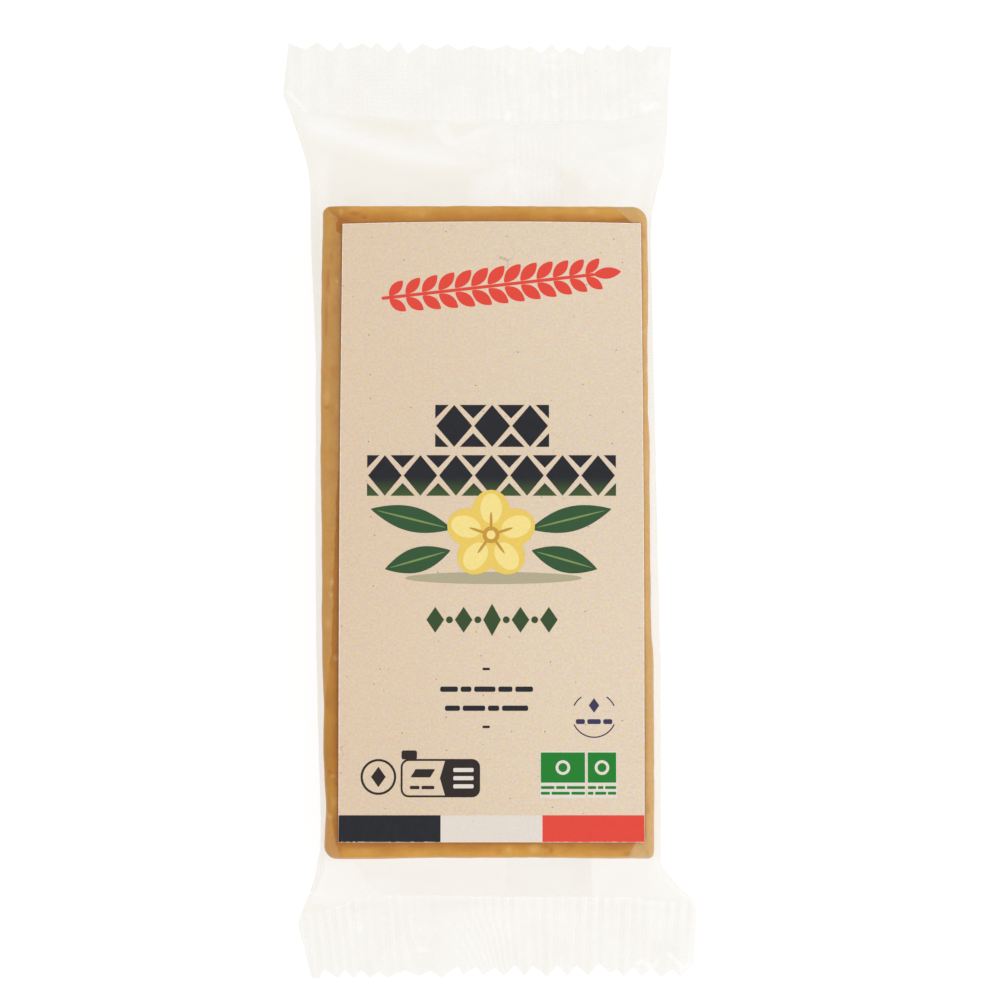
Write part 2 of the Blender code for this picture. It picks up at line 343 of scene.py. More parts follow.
blockLow, blockHigh = boxOf("marzipan_block")
block = {
    # outline in plan: sides as (y, x), ends as (x, y), mm
    "left": [(-89.9, -40.0), (-86.3, -40.1), (-80.7, -40.0), (-77.3, -39.4), (-73.2, -39.9), (-67.9, -40.2),
             (-62.5, -40.5), (-50.6, -40.3), (-38.2, -41.0), (-3.1, -41.3), (8.0, -41.7), (47.7, -41.7),
             (58.0, -41.7), (68.2, -41.6), (74.6, -41.7)],
    "right": [(-89.9, 41.5), (-75.3, 41.6), (-38.5, 41.7), (-34.5, 41.2), (-25.7, 41.05), (-0.6, 40.9),
              (17.6, 41.05), (20.6, 40.65), (42.0, 40.65), (45.6, 40.9), (61.8, 40.9), (74.6, 40.6)],
    "head": [(-42.0, 74.3), (-22.0, 74.5), (-9.3, 74.4), (3.4, 74.5), (18.7, 74.3), (41.0, 74.2)],
    "foot": [(-42.0, -89.7), (-33.6, -89.9), (-21.3, -89.7), (-11.4, -89.5), (18.2, -89.5), (41.0, -89.7)],
    "corners": {(1, 1): 3.8, (-1, 1): 2.2, (-1, -1): 3.2, (1, -1): 1.7},     # radii in plan
    "half": (41.0, 81.8), "middle": (0.0, -7.5),           # the even outline that is bent to these lines
    "upperRadius": 1.9, "lowerRadius": 1.2, "underInset": 5.0,
    # mesh: steps round the outline and in from the rim, how far, outline points to one of the flat caps, and
    # the half sizes over which the inner rings close in
    "pointStep": 0.42, "rimStep": 0.35, "rim": 8.0, "capStep": 8, "shrink": (39.0, 79.8),
    "relief": 0.10, "topRelief": (0.10, 0.05),             # of the sides, and broad and fine of the top
    # handling marks: x, y, half width, half length, depth (mm) and how much darker (paler if negative)
    "marks": [
        (-33.5, 72.1, 1.1, 0.5, 0.30, 0.75), (-31.2, 71.1, 0.7, 0.5, 0.25, 0.7),
        (-39.7, 73.0, 0.35, 0.35, 0.1, 0.35), (-39.1, 72.4, 0.35, 0.35, 0.1, 0.40),
        (-38.5, 71.8, 0.35, 0.35, 0.1, 0.40), (-37.9, 71.2, 0.35, 0.35, 0.1, 0.40),
        (-37.3, 70.6, 0.40, 0.40, 0.1, 0.45),
        (-36.9, 72.7, 0.5, 1.0, 0.0, -0.5), (-37.4, 68.6, 0.45, 1.2, 0.1, 0.6),
        (-37.6, 70.6, 1.6, 0.4, 0.15, 0.5), (-35.2, 70.4, 1.2, 0.5, 0.0, 0.4),
        (-40.0, 54.6, 0.40, 3.0, 0.05, 0.75), (-40.4, 45.0, 0.28, 5.2, 0.05, 0.7),
        (-39.2, 61.4, 0.35, 1.3, 0.0, 0.5), (-37.7, 54.7, 0.25, 0.25, -0.1, -0.9),
        (-38.0, 47.0, 0.5, 0.5, 0.05, 0.4), (-39.9, 22.7, 0.8, 0.35, 0.1, 0.6),
        (-40.2, 25.6, 0.9, 2.0, 0.0, -0.35), (-37.5, 22.6, 0.4, 1.8, 0.0, -0.3),
        (-38.4, -21.4, 0.5, 1.0, -0.05, -0.5), (-38.6, -24.6, 0.5, 0.7, -0.05, -0.45),
        (-39.3, -31.6, 0.7, 0.9, 0.0, -0.4), (-37.4, -40.4, 0.5, 0.6, 0.1, -0.5),
        (-37.0, -42.4, 0.3, 0.8, 0.05, 0.4), (-38.6, -68.4, 0.5, 0.7, 0.25, 0.8),
        (-38.0, -69.4, 0.6, 0.25, -0.1, -0.7), (-36.9, -71.2, 0.45, 0.5, 0.15, 0.7),
        (-37.6, -75.6, 0.6, 1.0, 0.05, -0.3), (-38.5, -79.4, 0.6, 0.5, 0.0, -0.5),
        (-25.0, 71.6, 4.0, 1.2, 0.05, 0.2), (-16.0, 72.2, 1.0, 1.0, 0.0, -0.25),
        (3.0, 71.4, 5.0, 0.8, 0.0, 0.25), (18.6, 71.2, 2.4, 0.7, 0.0, 0.35),
        (26.6, 72.6, 1.5, 0.7, 0.0, -0.35), (33.6, 70.4, 1.9, 0.5, 0.1, 0.6),
        (29.0, 70.3, 2.6, 0.35, 0.0, 0.3), (-28.0, -86.4, 4.5, 0.5, 0.0, 0.5),
        (-16.2, -86.6, 3.0, 0.7, 0.0, 0.45), (-31.0, -87.6, 2.5, 0.8, 0.0, -0.2),
        (-4.0, -87.2, 5.0, 0.9, 0.0, 0.25), (3.2, -87.8, 0.8, 0.8, 0.0, 0.4),
        (5.6, -87.4, 0.8, 0.9, 0.0, -0.45), (14.6, -86.6, 0.9, 0.5, 0.1, 0.7),
        (16.0, -87.3, 0.5, 0.9, 0.1, 0.7), (11.6, -87.2, 1.3, 0.9, 0.0, -0.4),
        (21.0, -86.5, 1.2, 0.5, 0.0, 0.4), (30.0, -86.6, 4.0, 0.9, 0.0, 0.35),
        (34.6, -88.4, 0.9, 0.6, 0.1, 0.6), (39.8, 41.8, 0.7, 0.8, 0.0, -0.4),
        (39.9, -77.4, 0.5, 1.4, 0.05, 0.4), (40.2, -32.0, 0.6, 2.4, 0.0, -0.2),
        (39.9, 66.4, 0.5, 1.4, 0.0, 0.25), (40.1, 8.0, 0.5, 3.0, 0.0, -0.2),
    ],
    # noise of the paste, as (scale, detail, roughness), its pits, and how strong and high its grain stands
    "cloud": (120.0, 3.0, 0.55), "grain": (1100.0, 3.0, 0.6), "blotch": (330.0, 2.0, 0.5), "pits": 620.0,
    "grainStrength": 0.4, "grainHeight": 0.2 * mm,
    # tones of the paste: under clinging film away from its rim, darker with painted shade towards the label,
    # and at the rim, paler with the film's painted sheen; and under lifted film, paler with the film's
    # painted sheen, the right one paler still with painted light from the right
    "innerTone": srgb(199, 134, 48), "outerTone": srgb(224, 170, 80),
    "leftTone": srgb(212, 160, 79), "leftLowTone": srgb(210, 151, 59), "rightTone": srgb(219, 175, 107),
    # width of the rim and how it wavers, mm, and the painted shade that darkens the paste under lifted film
    # away from the rim, towards the label, as a range of the distance and of the tone
    "rimWidth": 4.4, "rimWaver": 0.9, "liftedInwardShade": (1.0, 4.6, 1.04, 0.86),
    # between which places tones change, mm: strip left of the label (x), its lower part (y), foot strip (y)
    "leftStrip": (-37.0, -34.0), "leftLow": (-50.0, -20.0), "footStrip": (-88.0, -83.0),
    # multiplied in: painted shade left of the label, on the side away from the light; in the strip at the
    # foot;
    # and everywhere for the film's tint
    "leftPaintedShade": (0.80, 0.71, 0.53, 1.0), "footShade": (0.98, 0.93, 0.61, 1.0),
    "filmShade": (0.878, 0.846, 0.775, 1.0),
    "markTone": srgb(172, 96, 34), "paleTone": srgb(240, 206, 142),
    # painted shadow of the label's raised edge, a darker line round it: middle and half sizes, where it fades
    # out and how it wavers, mm; its tone and strength; and between which places its share changes at the foot
    # (y) and right (x)
    "pressed": ((1.33, -8.15), (37.95, 77.75)), "pressedFade": (0.2, 0.6), "pressedWaver": 0.35,
    "pressedTone": srgb(186, 110, 44), "pressedShare": 0.6,
    "pressedFoot": (-85.0, -84.0, 0.35, 1.0), "pressedRight": (37.0, 39.0, 1.0, 0.5),
}


# points round the block at its widest, with the outward direction of each
def blockOutline():
    (halfX, halfY), middleY = block["half"], block["middle"][1]
    spots = []
    for (signX, signY), startAngle in zip(((1, 1), (-1, 1), (-1, -1), (1, -1)), (0, 90, 180, 270)):
        radius = block["corners"][(signX, signY)]
        steps = max(6, round(radius * math.pi / 2 / 0.3))
        for step in range(steps + 1):
            angle = math.radians(startAngle + 90 * step / steps)
            spots.append((signX * (halfX - radius) + radius * math.cos(angle),
                          signY * (halfY - radius) + radius * math.sin(angle)))
    filled = []
    for start, end in zip(spots, spots[1:] + spots[:1]):
        count = max(1, round(math.dist(start, end) / block["pointStep"]))
        filled += [(mix(start[0], end[0], n / count), mix(start[1], end[1], n / count)) for n in range(count)]
    x, y = np.array(filled).T
    across, along = (x + halfX) / (2 * halfX), (y + halfY) / (2 * halfY)
    left, right = softLine(block["left"], y + middleY), softLine(block["right"], y + middleY)
    x = mix(left, right, across)
    y = mix(softLine(block["foot"], x), softLine(block["head"], x), along)
    stepX, stepY = np.roll(x, -1) - np.roll(x, 1), np.roll(y, -1) - np.roll(y, 1)
    length = np.hypot(stepX, stepY)
    return x, y, stepY / length, -stepX / length


# rings from the underside, up the sides and in over the top: inset and height of each, mm
def blockRings():
    bottom, top = blockLow[2], blockHigh[2]
    lower, upper = block["lowerRadius"], block["upperRadius"]
    quarter = math.pi / 2
    rings = [(block["underInset"], bottom)]
    for angle in np.linspace(0, quarter, 4):
        rings.append((lower * (1 - math.sin(angle)), bottom + lower * (1 - math.cos(angle))))
    rings += [(0.0, mix(bottom + lower, top - upper, share)) for share in np.linspace(0, 1, 7)[1:-1]]
    for angle in np.linspace(0, quarter, 8):
        rings.append((upper * (1 - math.cos(angle)), top - upper * (1 - math.sin(angle))))
    rings += [(inset, top) for inset in np.arange(upper + block["rimStep"], block["rim"], block["rimStep"])]
    return rings


# a mask that changes between two places along an axis, mm
def maskAlong(tree, place, axis, start, end, first, last, smooth=False):
    return mapRange(tree, place.outputs[axis], start * mm, end * mm, first, last, smooth)


# painted shadow round the label, from the distance to its outline, weaker at the foot and at the right
def pressedLine(tree, place, blotch):
    (middleX, middleY), (halfX, halfY) = block["pressed"]
    beyondX = mathNode(tree, "ABSOLUTE", mathNode(tree, "SUBTRACT", place.outputs["X"], middleX * mm))
    beyondY = mathNode(tree, "ABSOLUTE", mathNode(tree, "SUBTRACT", place.outputs["Y"], middleY * mm))
    beyond = mathNode(tree, "MAXIMUM", mathNode(tree, "SUBTRACT", beyondX, halfX * mm),
                      mathNode(tree, "SUBTRACT", beyondY, halfY * mm))
    beyond = mathNode(tree, "MULTIPLY_ADD", blotch, block["pressedWaver"] * mm, beyond)
    near, far = block["pressedFade"]
    line = mapRange(tree, beyond, near * mm, far * mm, block["pressedShare"], 0.0, True)
    weaker = mathNode(tree, "MULTIPLY", maskAlong(tree, place, "Y", *block["pressedFoot"]),
                      maskAlong(tree, place, "X", *block["pressedRight"]))
    return mathNode(tree, "MULTIPLY", line, weaker)


# the paste under clinging film, and under lifted film at each side, with painted sheen and painted shade
def pasteTone(tree, place, inset, cloud, blotch):
    waver = block["rimWaver"]
    inward = mathNode(tree, "ADD", inset, mapRange(tree, cloud, 0.3, 0.7, -waver, waver))
    inwardShare = mapRange(tree, inward, 0.0, block["rimWidth"], 0.0, 1.0, True)
    base = mixColour(tree, inwardShare, block["outerTone"], block["innerTone"])
    # painted shade on the paste left of the label, the side away from the light
    leftSide = maskAlong(tree, place, "X", *block["leftStrip"], 1.0, 0.0)
    base = mixColour(tree, leftSide, base, block["leftPaintedShade"], "MULTIPLY")
    lowMask = maskAlong(tree, place, "Y", *block["leftLow"], 1.0, 0.0)
    leftLow = mathNode(tree, "MULTIPLY", leftSide, lowMask)
    leftTone = mixColour(tree, leftLow, block["leftTone"], block["leftLowTone"])
    # under lifted film it is patchy, with some of the wetter tone, paler with the film's painted sheen, more
    # so at the right with painted light, and darker towards the label with painted shade
    lifted = addNode(tree, "ShaderNodeGroup", node_tree=liftedFilm)
    patchy = mapRange(tree, blotch, 0.35, 0.7, 1.0, 0.45)
    inwardShade = mapRange(tree, inward, *block["liftedInwardShade"])
    leftShare = mathNode(tree, "MULTIPLY", lifted.outputs["Left"], patchy)
    base = mixColour(tree, leftShare, base, shadeColour(tree, leftTone, inwardShade))
    even = mapRange(tree, patchy, 0.45, 1.0, 0.82, 1.0)
    rightShare = mathNode(tree, "MULTIPLY", lifted.outputs["Right"], even)
    base = mixColour(tree, rightShare, base, block["rightTone"])
    nearFoot = maskAlong(tree, place, "Y", *block["footStrip"], 1.0, 0.0, True)
    base = mixColour(tree, nearFoot, base, block["footShade"], "MULTIPLY")
    return mixColour(tree, 1.0, base, block["filmShade"], "MULTIPLY")


# paste with a fine grain and pits, its handling marks, and the painted shadow line round the label
def makeMarzipan():
    material, tree, shader = newMaterial("marzipan")
    where, place = placeOf(tree)
    inset, mark = valueOf(tree, "inset"), valueOf(tree, "mark")
    cloud, grain, blotch = (noiseNode(tree, where, *block[name]) for name in ("cloud", "grain", "blotch"))
    pits = addNode(tree, "ShaderNodeTexVoronoi", {"Vector": where, "Scale": block["pits"]})
    base = pasteTone(tree, place, inset, cloud, blotch)
    base = mixColour(tree, pressedLine(tree, place, blotch), base, block["pressedTone"])
    base = mixColour(tree, mathNode(tree, "MAXIMUM", mark, 0.0), base, block["markTone"])
    paler = mathNode(tree, "MAXIMUM", mathNode(tree, "MULTIPLY", mark, -0.55), 0.0)
    base = mixColour(tree, paler, base, block["paleTone"])
    base = shadeColour(tree, base, mapRange(tree, grain, 0.3, 0.7, 0.94, 1.05))
    base = shadeColour(tree, base, mapRange(tree, blotch, 0.3, 0.7, 0.95, 1.04))
    pore = mapRange(tree, pits.outputs["Distance"], 0.05, 0.22, 0.0, 1.0, True)
    height = mathNode(tree, "MULTIPLY_ADD", grain, 0.5, mathNode(tree, "MULTIPLY", pore, 0.35))
    bump = addNode(tree, "ShaderNodeBump", {"Height": height, "Strength": block["grainStrength"],
                                            "Distance": block["grainHeight"]})
    tree.links.new(base, shader.inputs["Base Color"])
    tree.links.new(mapRange(tree, cloud, 0.3, 0.7, 0.36, 0.55), shader.inputs["Roughness"])
    tree.links.new(bump.outputs["Normal"], shader.inputs["Normal"])
    shader.inputs["Specular IOR Level"].default_value = 0.35
    return material


# depth of the handling marks at points of the top, and how much darker or paler they make it
def handlingMarks(x, y):
    depths, tones = np.zeros(len(x)), np.zeros(len(x))
    ragged = 1 + 0.35 * softNoise(x, y, 0.9, 8)
    for markX, markY, wide, long, depth, tone in block["marks"]:
        away = ((x - markX) / wide) ** 2 + ((y - markY) / long) ** 2
        depths += depth * np.exp(-away)
        tones += tone * np.exp(-away * ragged)
    return depths, tones


# closes a ring of points with a smaller flat cap on fewer points; way -1 turns its faces over
def addCap(points, insets, faces, ring, way):
    middle, count, first = np.array(block["middle"]), len(ring), len(points)
    chosen = list(range(0, count, block["capStep"]))
    inner = points[ring][chosen]
    inner[:, :2] = middle + (inner[:, :2] - middle) * 0.9
    inner[:, 2] = points[ring][:, 2].mean()
    cap = list(range(first, first + len(chosen)))
    faces.append(cap[::way])
    for n, begin in enumerate(chosen):
        stop = chosen[n + 1] if n + 1 < len(chosen) else count
        outer = [int(ring[k % count]) for k in range(begin, stop + 1)]
        faces.append((outer + [cap[(n + 1) % len(cap)], cap[n]])[::way])
    return np.concatenate([points, inner]), np.concatenate([insets, np.full(len(chosen), 12.0)])


# the rings joined into one closed mesh, with the top's relief and marks
def makeBlock():
    x, y, outX, outY = blockOutline()
    rings, count = blockRings(), len(x)
    upper, top = block["upperRadius"], blockHigh[2]
    (middleX, middleY), (shrinkX, shrinkY) = block["middle"], block["shrink"]
    broad, fine = block["topRelief"]
    push = block["relief"] * softNoise(x + y * 0.7, y * 0.8, 6.0, 5)
    points, insets = [], []
    for inset, z in rings:
        near = min(inset, upper)
        rough = push + block["relief"] * 0.5 * softNoise(x + z, y - x * 0.3, 2.2, 6)
        px, py = x + outX * (rough - near), y + outY * (rough - near)
        px = middleX + (px - middleX) * (1 - (inset - near) / shrinkX)
        py = middleY + (py - middleY) * (1 - (inset - near) / shrinkY)
        raised = np.full(count, float(z))
        if z > top - upper:
            share = (z - top + upper) / upper
            raised += share * (broad * softNoise(px, py, 9.0, 3) + fine * softNoise(px, py, 2.6, 4) - fine)
            raised -= handlingMarks(px, py)[0]
        points.append(np.stack([px, py, raised], -1))
        insets.append(np.full(count, inset if z > top - upper - 0.01 else 0.0))
    order = np.arange(len(rings) * count).reshape(len(rings), count)
    ahead = np.roll(order, -1, axis=1)
    faces = np.stack([order[:-1], ahead[:-1], ahead[1:], order[1:]], -1).reshape(-1, 4).tolist()
    points, insets = np.concatenate(points), np.concatenate(insets)
    # flat caps under the block and under the label
    for ring, way in ((order[0], -1), (order[-1], 1)):
        points, insets = addCap(points, insets, faces, ring, way)
    tones = handlingMarks(points[:, 0], points[:, 1])[1]
    tones = np.where(points[:, 2] > top - upper, tones, 0.0).clip(-0.9, 0.9)
    return makePiece("marzipanBlock", points, faces, [makeMarzipan()], 50, {"inset": insets, "mark": tones})


marzipanBlock = makeBlock()

print("stage 3: clear film")

film = {
    # the sides in plan, (y, x) from foot to head, mm
    "left": [(-119.2, -43.5), (-114.0, -44.9), (-108.1, -46.5), (-106.1, -47.0), (-102.0, -45.5),
             (-97.1, -43.5), (-93.1, -42.4), (-84.7, -41.0), (-76.6, -41.4), (-61.7, -42.0), (-40.0, -42.7),
             (-5.3, -43.2), (20.0, -43.3), (38.0, -43.4), (50.0, -44.05), (63.9, -44.8), (80.3, -45.2),
             (85.2, -45.8), (88.7, -46.7), (94.6, -48.6), (100.5, -50.6), (105.0, -52.5), (107.0, -52.5),
             (119.1, -51.4)],
    "right": [(-119.2, 51.0), (-115.7, 51.7), (-106.5, 52.2), (-101.1, 52.4), (-96.2, 47.5), (-91.5, 43.4),
              (-82.8, 43.4), (-39.3, 43.7), (-28.0, 43.35), (25.3, 42.65), (48.4, 42.15), (67.8, 41.9),
              (73.0, 42.2), (80.6, 43.9), (85.1, 45.4), (93.9, 46.3), (107.9, 47.0), (119.1, 48.0)],
    # inner edge of each seal, (x, y)
    "headSeal": [(-52, 101.7), (-40.7, 101.4), (-20.0, 99.6), (-1.7, 99.1), (12.7, 98.9), (34.4, 99.6),
                 (39.1, 100.7), (47, 102.2)],
    "footSeal": [(-47, -104.9), (-38.9, -102.8), (-32.3, -100.2), (-22.9, -99.2), (3.4, -99.7), (37.0, -99.7),
                 (41.0, -100.8), (52.5, -101.1)],
    # zigzag-cut ends, (x, y)
    "headTeeth": [
        (-51.3, 119.1), (-47.0, 117.7), (-43.8, 119.3), (-40.3, 117.1), (-37.9, 119.4), (-36.2, 117.6),
        (-32.1, 119.1), (-30.0, 118.0), (-28.3, 119.4), (-25.6, 116.9), (-22.5, 119.4), (-20.5, 116.5),
        (-16.7, 119.0), (-13.1, 117.7), (-10.1, 118.9), (-7.2, 117.3), (-3.7, 118.6), (1.3, 117.5),
        (5.2, 118.7), (9.1, 117.3), (11.1, 118.5), (14.2, 116.6), (16.7, 119.1), (19.2, 116.5),
        (21.1, 118.3), (24.8, 116.2), (26.1, 118.8), (29.7, 117.3), (31.3, 119.0), (33.9, 117.0),
        (36.6, 118.9), (39.9, 116.9), (42.0, 118.8), (43.8, 118.3), (48.1, 118.3),
    ],
    "footTeeth": [
        (-43.6, -119.1), (-41.6, -119.3), (-40.6, -117.4), (-36.8, -119.2), (-35.4, -117.5), (-32.9, -119.2),
        (-31.3, -117.6), (-28.9, -119.1), (-26.6, -117.9), (-24.7, -119.1), (-20.2, -117.6), (-16.7, -118.8),
        (-14.0, -117.7), (-11.1, -119.1), (-7.0, -116.6), (-5.8, -118.6), (-2.4, -116.6), (-0.9, -118.6),
        (2.3, -116.9), (4.4, -118.8), (7.2, -116.2), (9.4, -118.8), (11.5, -116.3), (15.2, -119.0),
        (17.6, -116.2), (20.2, -118.8), (22.5, -116.2), (25.3, -118.7), (28.0, -115.7), (30.8, -118.2),
        (32.6, -117.1), (34.2, -119.0), (36.6, -116.6), (38.8, -119.0), (41.1, -116.9), (43.6, -119.1),
        (46.4, -117.2), (48.3, -119.1), (51.3, -116.2),
    ],
    "toothTip": 0.3, "toothFrom": 118.2,           # lengthens the tips, which the columns of the mesh cut
    "headShoulder": 75.2, "footShoulder": -90.2,   # where the film leaves the block's ends
    "shoulderRound": 0.45,
    "half": 119.1, "sealAt": 100.0,
    # rows of the mesh: (from, to, count)
    "rows": [(-119.1, -100.0, 40), (-100.0, -90.8, 22), (-90.8, -87.0, 14), (-87.0, 72.0, 30),
             (72.0, 76.0, 16), (76.0, 100.0, 52), (100.0, 119.1, 40)],
    "columns": 220,
    "top": blockHigh[2] + 0.3, "floor": 0.06,
    "sealHeight": 4.4, "sealSag": 1.0, "sealGap": 0.12,
    "sideBulge": 2.6,
    "billow": (0.6, 0.2), "gathers": 0.3,          # broad and fine billows, and gathers at the seals
    # ribs of the seals: pitch and strength from left to right as (x, value)
    "headPitch": [(-50, 2.7), (-38, 2.4), (-30, 1.8), (0, 1.7), (10, 2.4), (46, 2.5)],
    "headRibs": [(-52, 1.0), (-41, 1.0), (-38, 0.15), (-22, 0.1), (-18, 0.35), (-4, 0.25), (2, 0.8),
                 (20, 0.9), (36, 0.7), (42, 0.2)],
    "footPitch": [(-46, 2.5), (-12, 2.5), (-4, 2.2), (12, 2.5), (34, 2.7), (52, 2.7)],
    "footRibs": [(-46, 0.7), (-40, 0.9), (-16, 0.8), (-13, 0.1), (-8, 0.1), (-5, 0.8), (4, 0.9), (30, 0.9),
                 (36, 0.7), (52, 0.8)],
    "ribDepth": 0.05, "ribHaze": 0.14, "streakHaze": 0.006,
    # lean of the foot's ribs left and right of a place: x, width of the change, slope; and of the head's
    "footLeanLeft": (6.0, 12.0, 0.10), "footLeanRight": (26.0, 10.0, 0.05), "headLean": 0.02,
    # the foot's ribs bend over between two places: x, x, width of the change, y where it starts, slope
    "footBend": (-22.0, 10.0, 12.0, -104.0, 0.5),
    "foldedCorner": (-52.4, 106.8, 0.95),          # turned-in corner without ribs: x, y, slope of its fold
    "crumpleDepth": 0.07, "crumpleHaze": 0.05,
    # waffled patch: left, right, foot, head; its dimples along each axis: pitch, mm, and sway
    "waffle": (-39.5, -14.0, 100.6, 115.0), "dimples": [("X", 1.30, 5.0), ("Y", 1.20, -4.0)],
    # the two sheets' tint lies in the lower one and varies by the span, paler for painted sheen and deeper
    # for painted shade, so that the haze stays white
    "tint": (0.896, 0.871, 0.814), "tintSpan": (0.050, 0.060, 0.090),
    # the creases' and facets' painted highlights also weaken the tint by these amounts; the seals' tint
    # varies at random
    "creaseTint": 3.0, "facetTint": 5.0, "sealTint": 0.35,     # how much each of these changes the tint
    "haze": (-0.01, 0.03), "foldHazeAndSheen": 0.06, "sealHaze": 0.150,
    "hazeGain": 1.9,                     # all haze lies in the upper sheet, made this much stronger
    # scales of its noise: clouds of haze, streaks and dimples of the seals, and wrinkles
    "cloudScale": 90.0, "streakScale": 420.0, "dimpleScale": 260.0, "wrinkleScale": 240.0,
    "wrinkleStrength": 0.3, "wrinkleHeight": 0.2 * mm, "mostGloss": 0.10,
    # thin haze stays under the first value and dense haze over the second: at a quarter, between them, a
    # denoiser draws contour lines
    "thinHaze": 0.235, "denseHaze": 0.28,
    # bright lines: painted highlights where the film bends over the block's ends (end, mm outside it, haze),
    # and lines along the seals' inner edges
    "endHighlights": [("head", 0.5, 0.05), ("foot", -0.5, 0.16)], "endHighlightWidth": 0.22,
    "sealLine": 0.015, "sealLineWidth": 0.4,
    # pale lengthwise lines over the back seam: left, right, foot, head, pitch, strength
    "seamLines": (6.0, 20.0, 77.0, 98.0, 1.5, 0.4),
    # brighter and duller patches, painted highlights and shadows of wrinkles among them: x, y, half width,
    # half length (mm) and haze
    "patches": [
        (36.0, 93.0, 24.0, 12.0, 0.15), (2.0, 97.0, 16.0, 9.0, 0.06), (-30.0, -96.0, 22.0, 8.0, 0.13),
        (42.6, -20.0, 1.3, 70.0, 0.10),
        (6.0, -97.0, 20.0, 7.0, 0.14), (40.0, -96.0, 18.0, 8.0, 0.18), (-44.0, 98.0, 8.0, 5.0, 0.05),
        (5.7, 99.9, 0.8, 0.9, 0.32), (2.7, 98.5, 1.0, 0.5, -0.25), (5.7, 92.1, 1.4, 3.4, 0.12),
        (-0.6, 93.4, 2.2, 2.2, 0.08), (-11.9, 95.8, 1.8, 2.2, 0.10), (-5.5, 96.3, 2.6, 1.2, -0.06),
        (-1.6, 81.7, 3.6, 1.6, 0.10), (8.8, 80.4, 1.8, 3.0, 0.10), (22.4, 80.8, 1.8, 3.0, -0.06),
        (-20.5, 78.6, 13.0, 2.4, -0.07), (36.1, 96.9, 6.0, 1.2, 0.09), (42.1, 102.1, 2.4, 2.0, 0.12),
        (45.6, 112.5, 1.2, 4.0, 0.15), (16.4, 115.8, 2.2, 1.0, 0.18), (21.1, 115.3, 2.2, 0.8, 0.15),
        (-11.9, 113.0, 1.6, 0.5, -0.15), (6.1, 112.1, 0.8, 0.8, 0.20), (17.3, 105.6, 3.0, 1.0, 0.08),
        (-36.4, -94.4, 5.0, 3.0, 0.05), (-24.8, -96.8, 3.4, 1.6, 0.05), (-18.0, -90.8, 22.0, 0.8, 0.06),
        (-2.4, -100.8, 6.0, 1.0, -0.08), (-10.3, -109.9, 2.5, 7.0, -0.06), (-15.7, -112.4, 2.4, 0.7, 0.16),
        (-14.9, -114.2, 2.6, 0.9, -0.08), (-31.7, -107.3, 0.5, 0.5, 0.30), (-16.7, -107.5, 0.5, 0.5, 0.20),
        (18.6, -99.9, 6.0, 0.8, -0.08),
    ],
    # flat facets between the folds, lighter or darker as painted light: haze, width of the edge, outline (mm)
    "facets": [
        (0.06, 0.7, [(-14.1, 96.9), (-10.6, 98.6), (-7.6, 92.5), (-10.2, 91.7)]),
        (0.06, 0.7, [(-9.3, 92.5), (-3.8, 95.6), (1.8, 96.9), (-0.3, 89.9), (-6.8, 90.8)]),
        (0.05, 0.7, [(2.7, 96.9), (6.1, 94.7), (7.8, 89.1), (3.5, 88.6)]),
        (0.06, 0.7, [(-5.5, 80.4), (6.1, 85.6), (1.8, 78.6), (-2.9, 78.8)]),
        (0.05, 0.7, [(6.5, 85.4), (13.0, 76.0), (9.5, 76.0), (5.7, 83.4)]),
        (0.04, 0.7, [(12.1, 85.6), (18.1, 86.0), (17.3, 78.6), (14.0, 80.0)]),
        (0.03, 0.9, [(22.4, 96.9), (29.3, 97.7), (36.1, 89.9), (29.3, 89.9), (25.1, 85.6), (21.5, 89.1)]),
        (0.05, 0.7, [(29.3, 88.2), (34.4, 83.1), (26.1, 81.4)]),
        (0.03, 1.2, [(29.3, 89.9), (45.6, 93.4), (46.4, 86.5), (39.6, 87.3)]),
        (0.04, 1.2, [(36.1, 96.0), (44.7, 99.9), (45.6, 97.7), (37.9, 92.5)]),
        (-0.02, 1.4, [(15.5, 87.3), (24.1, 84.7), (23.3, 76.0), (19.8, 76.0)]),
        (-0.05, 3.0, [(-40.0, 90.0), (-24.0, 86.5), (-4.0, 83.4), (-5.0, 76.0), (-42.0, 76.0)]),
        (0.04, 3.0, [(-50.0, 101.0), (-42.0, 100.0), (-30.0, 94.0), (-8.0, 90.0), (-22.0, 90.0),
                     (-44.0, 95.0)]),
        (0.03, 1.5, [(-47.0, 100.3), (-31.6, 97.7), (-5.0, 89.9), (0.1, 86.5), (-24.8, 89.1), (-44.5, 92.5)]),
        (-0.02, 0.8, [(-34.0, -90.5), (-15.7, -92.3), (4.2, -92.8), (4.2, -98.9), (-24.0, -98.9),
                      (-33.1, -94.4)]),
        (-0.02, 1.0, [(4.4, -89.9), (26.6, -90.0), (26.6, -99.5), (5.1, -99.5)]),
        (0.02, 0.8, [(-28.2, -95.2), (-21.5, -95.2), (-22.0, -98.9), (-27.0, -98.9)]),
        (-0.03, 0.8, [(29.0, -97.0), (35.0, -92.5), (37.5, -97.8), (30.5, -99.0)]),
    ],
    # paler facets with painted sheen: weaker tint, width of the edge, outline (mm)
    "paleFacets": [
        (0.19, 2.0, [(2.0, 101.0), (10.4, 93.0), (17.7, 88.6), (24.6, 84.0), (26.6, 80.8), (34.8, 82.0),
                     (39.0, 86.0), (49.0, 83.0), (50.0, 103.0), (20.0, 101.0)]),
        (0.50, 1.2, [(26.6, -90.2), (46.0, -90.2), (56.0, -103.0), (26.6, -101.5)]),
        (0.45, 1.2, [(-45.0, -90.8), (-33.1, -90.8), (-29.8, -96.0), (-24.0, -101.0), (-50.0, -106.0)]),
    ],
    # painted shade where the tint looks deeper, and painted sheen where it is weaker if negative, along soft
    # lines:
    # strength, half width, points (mm)
    "sheenShadeLines": [
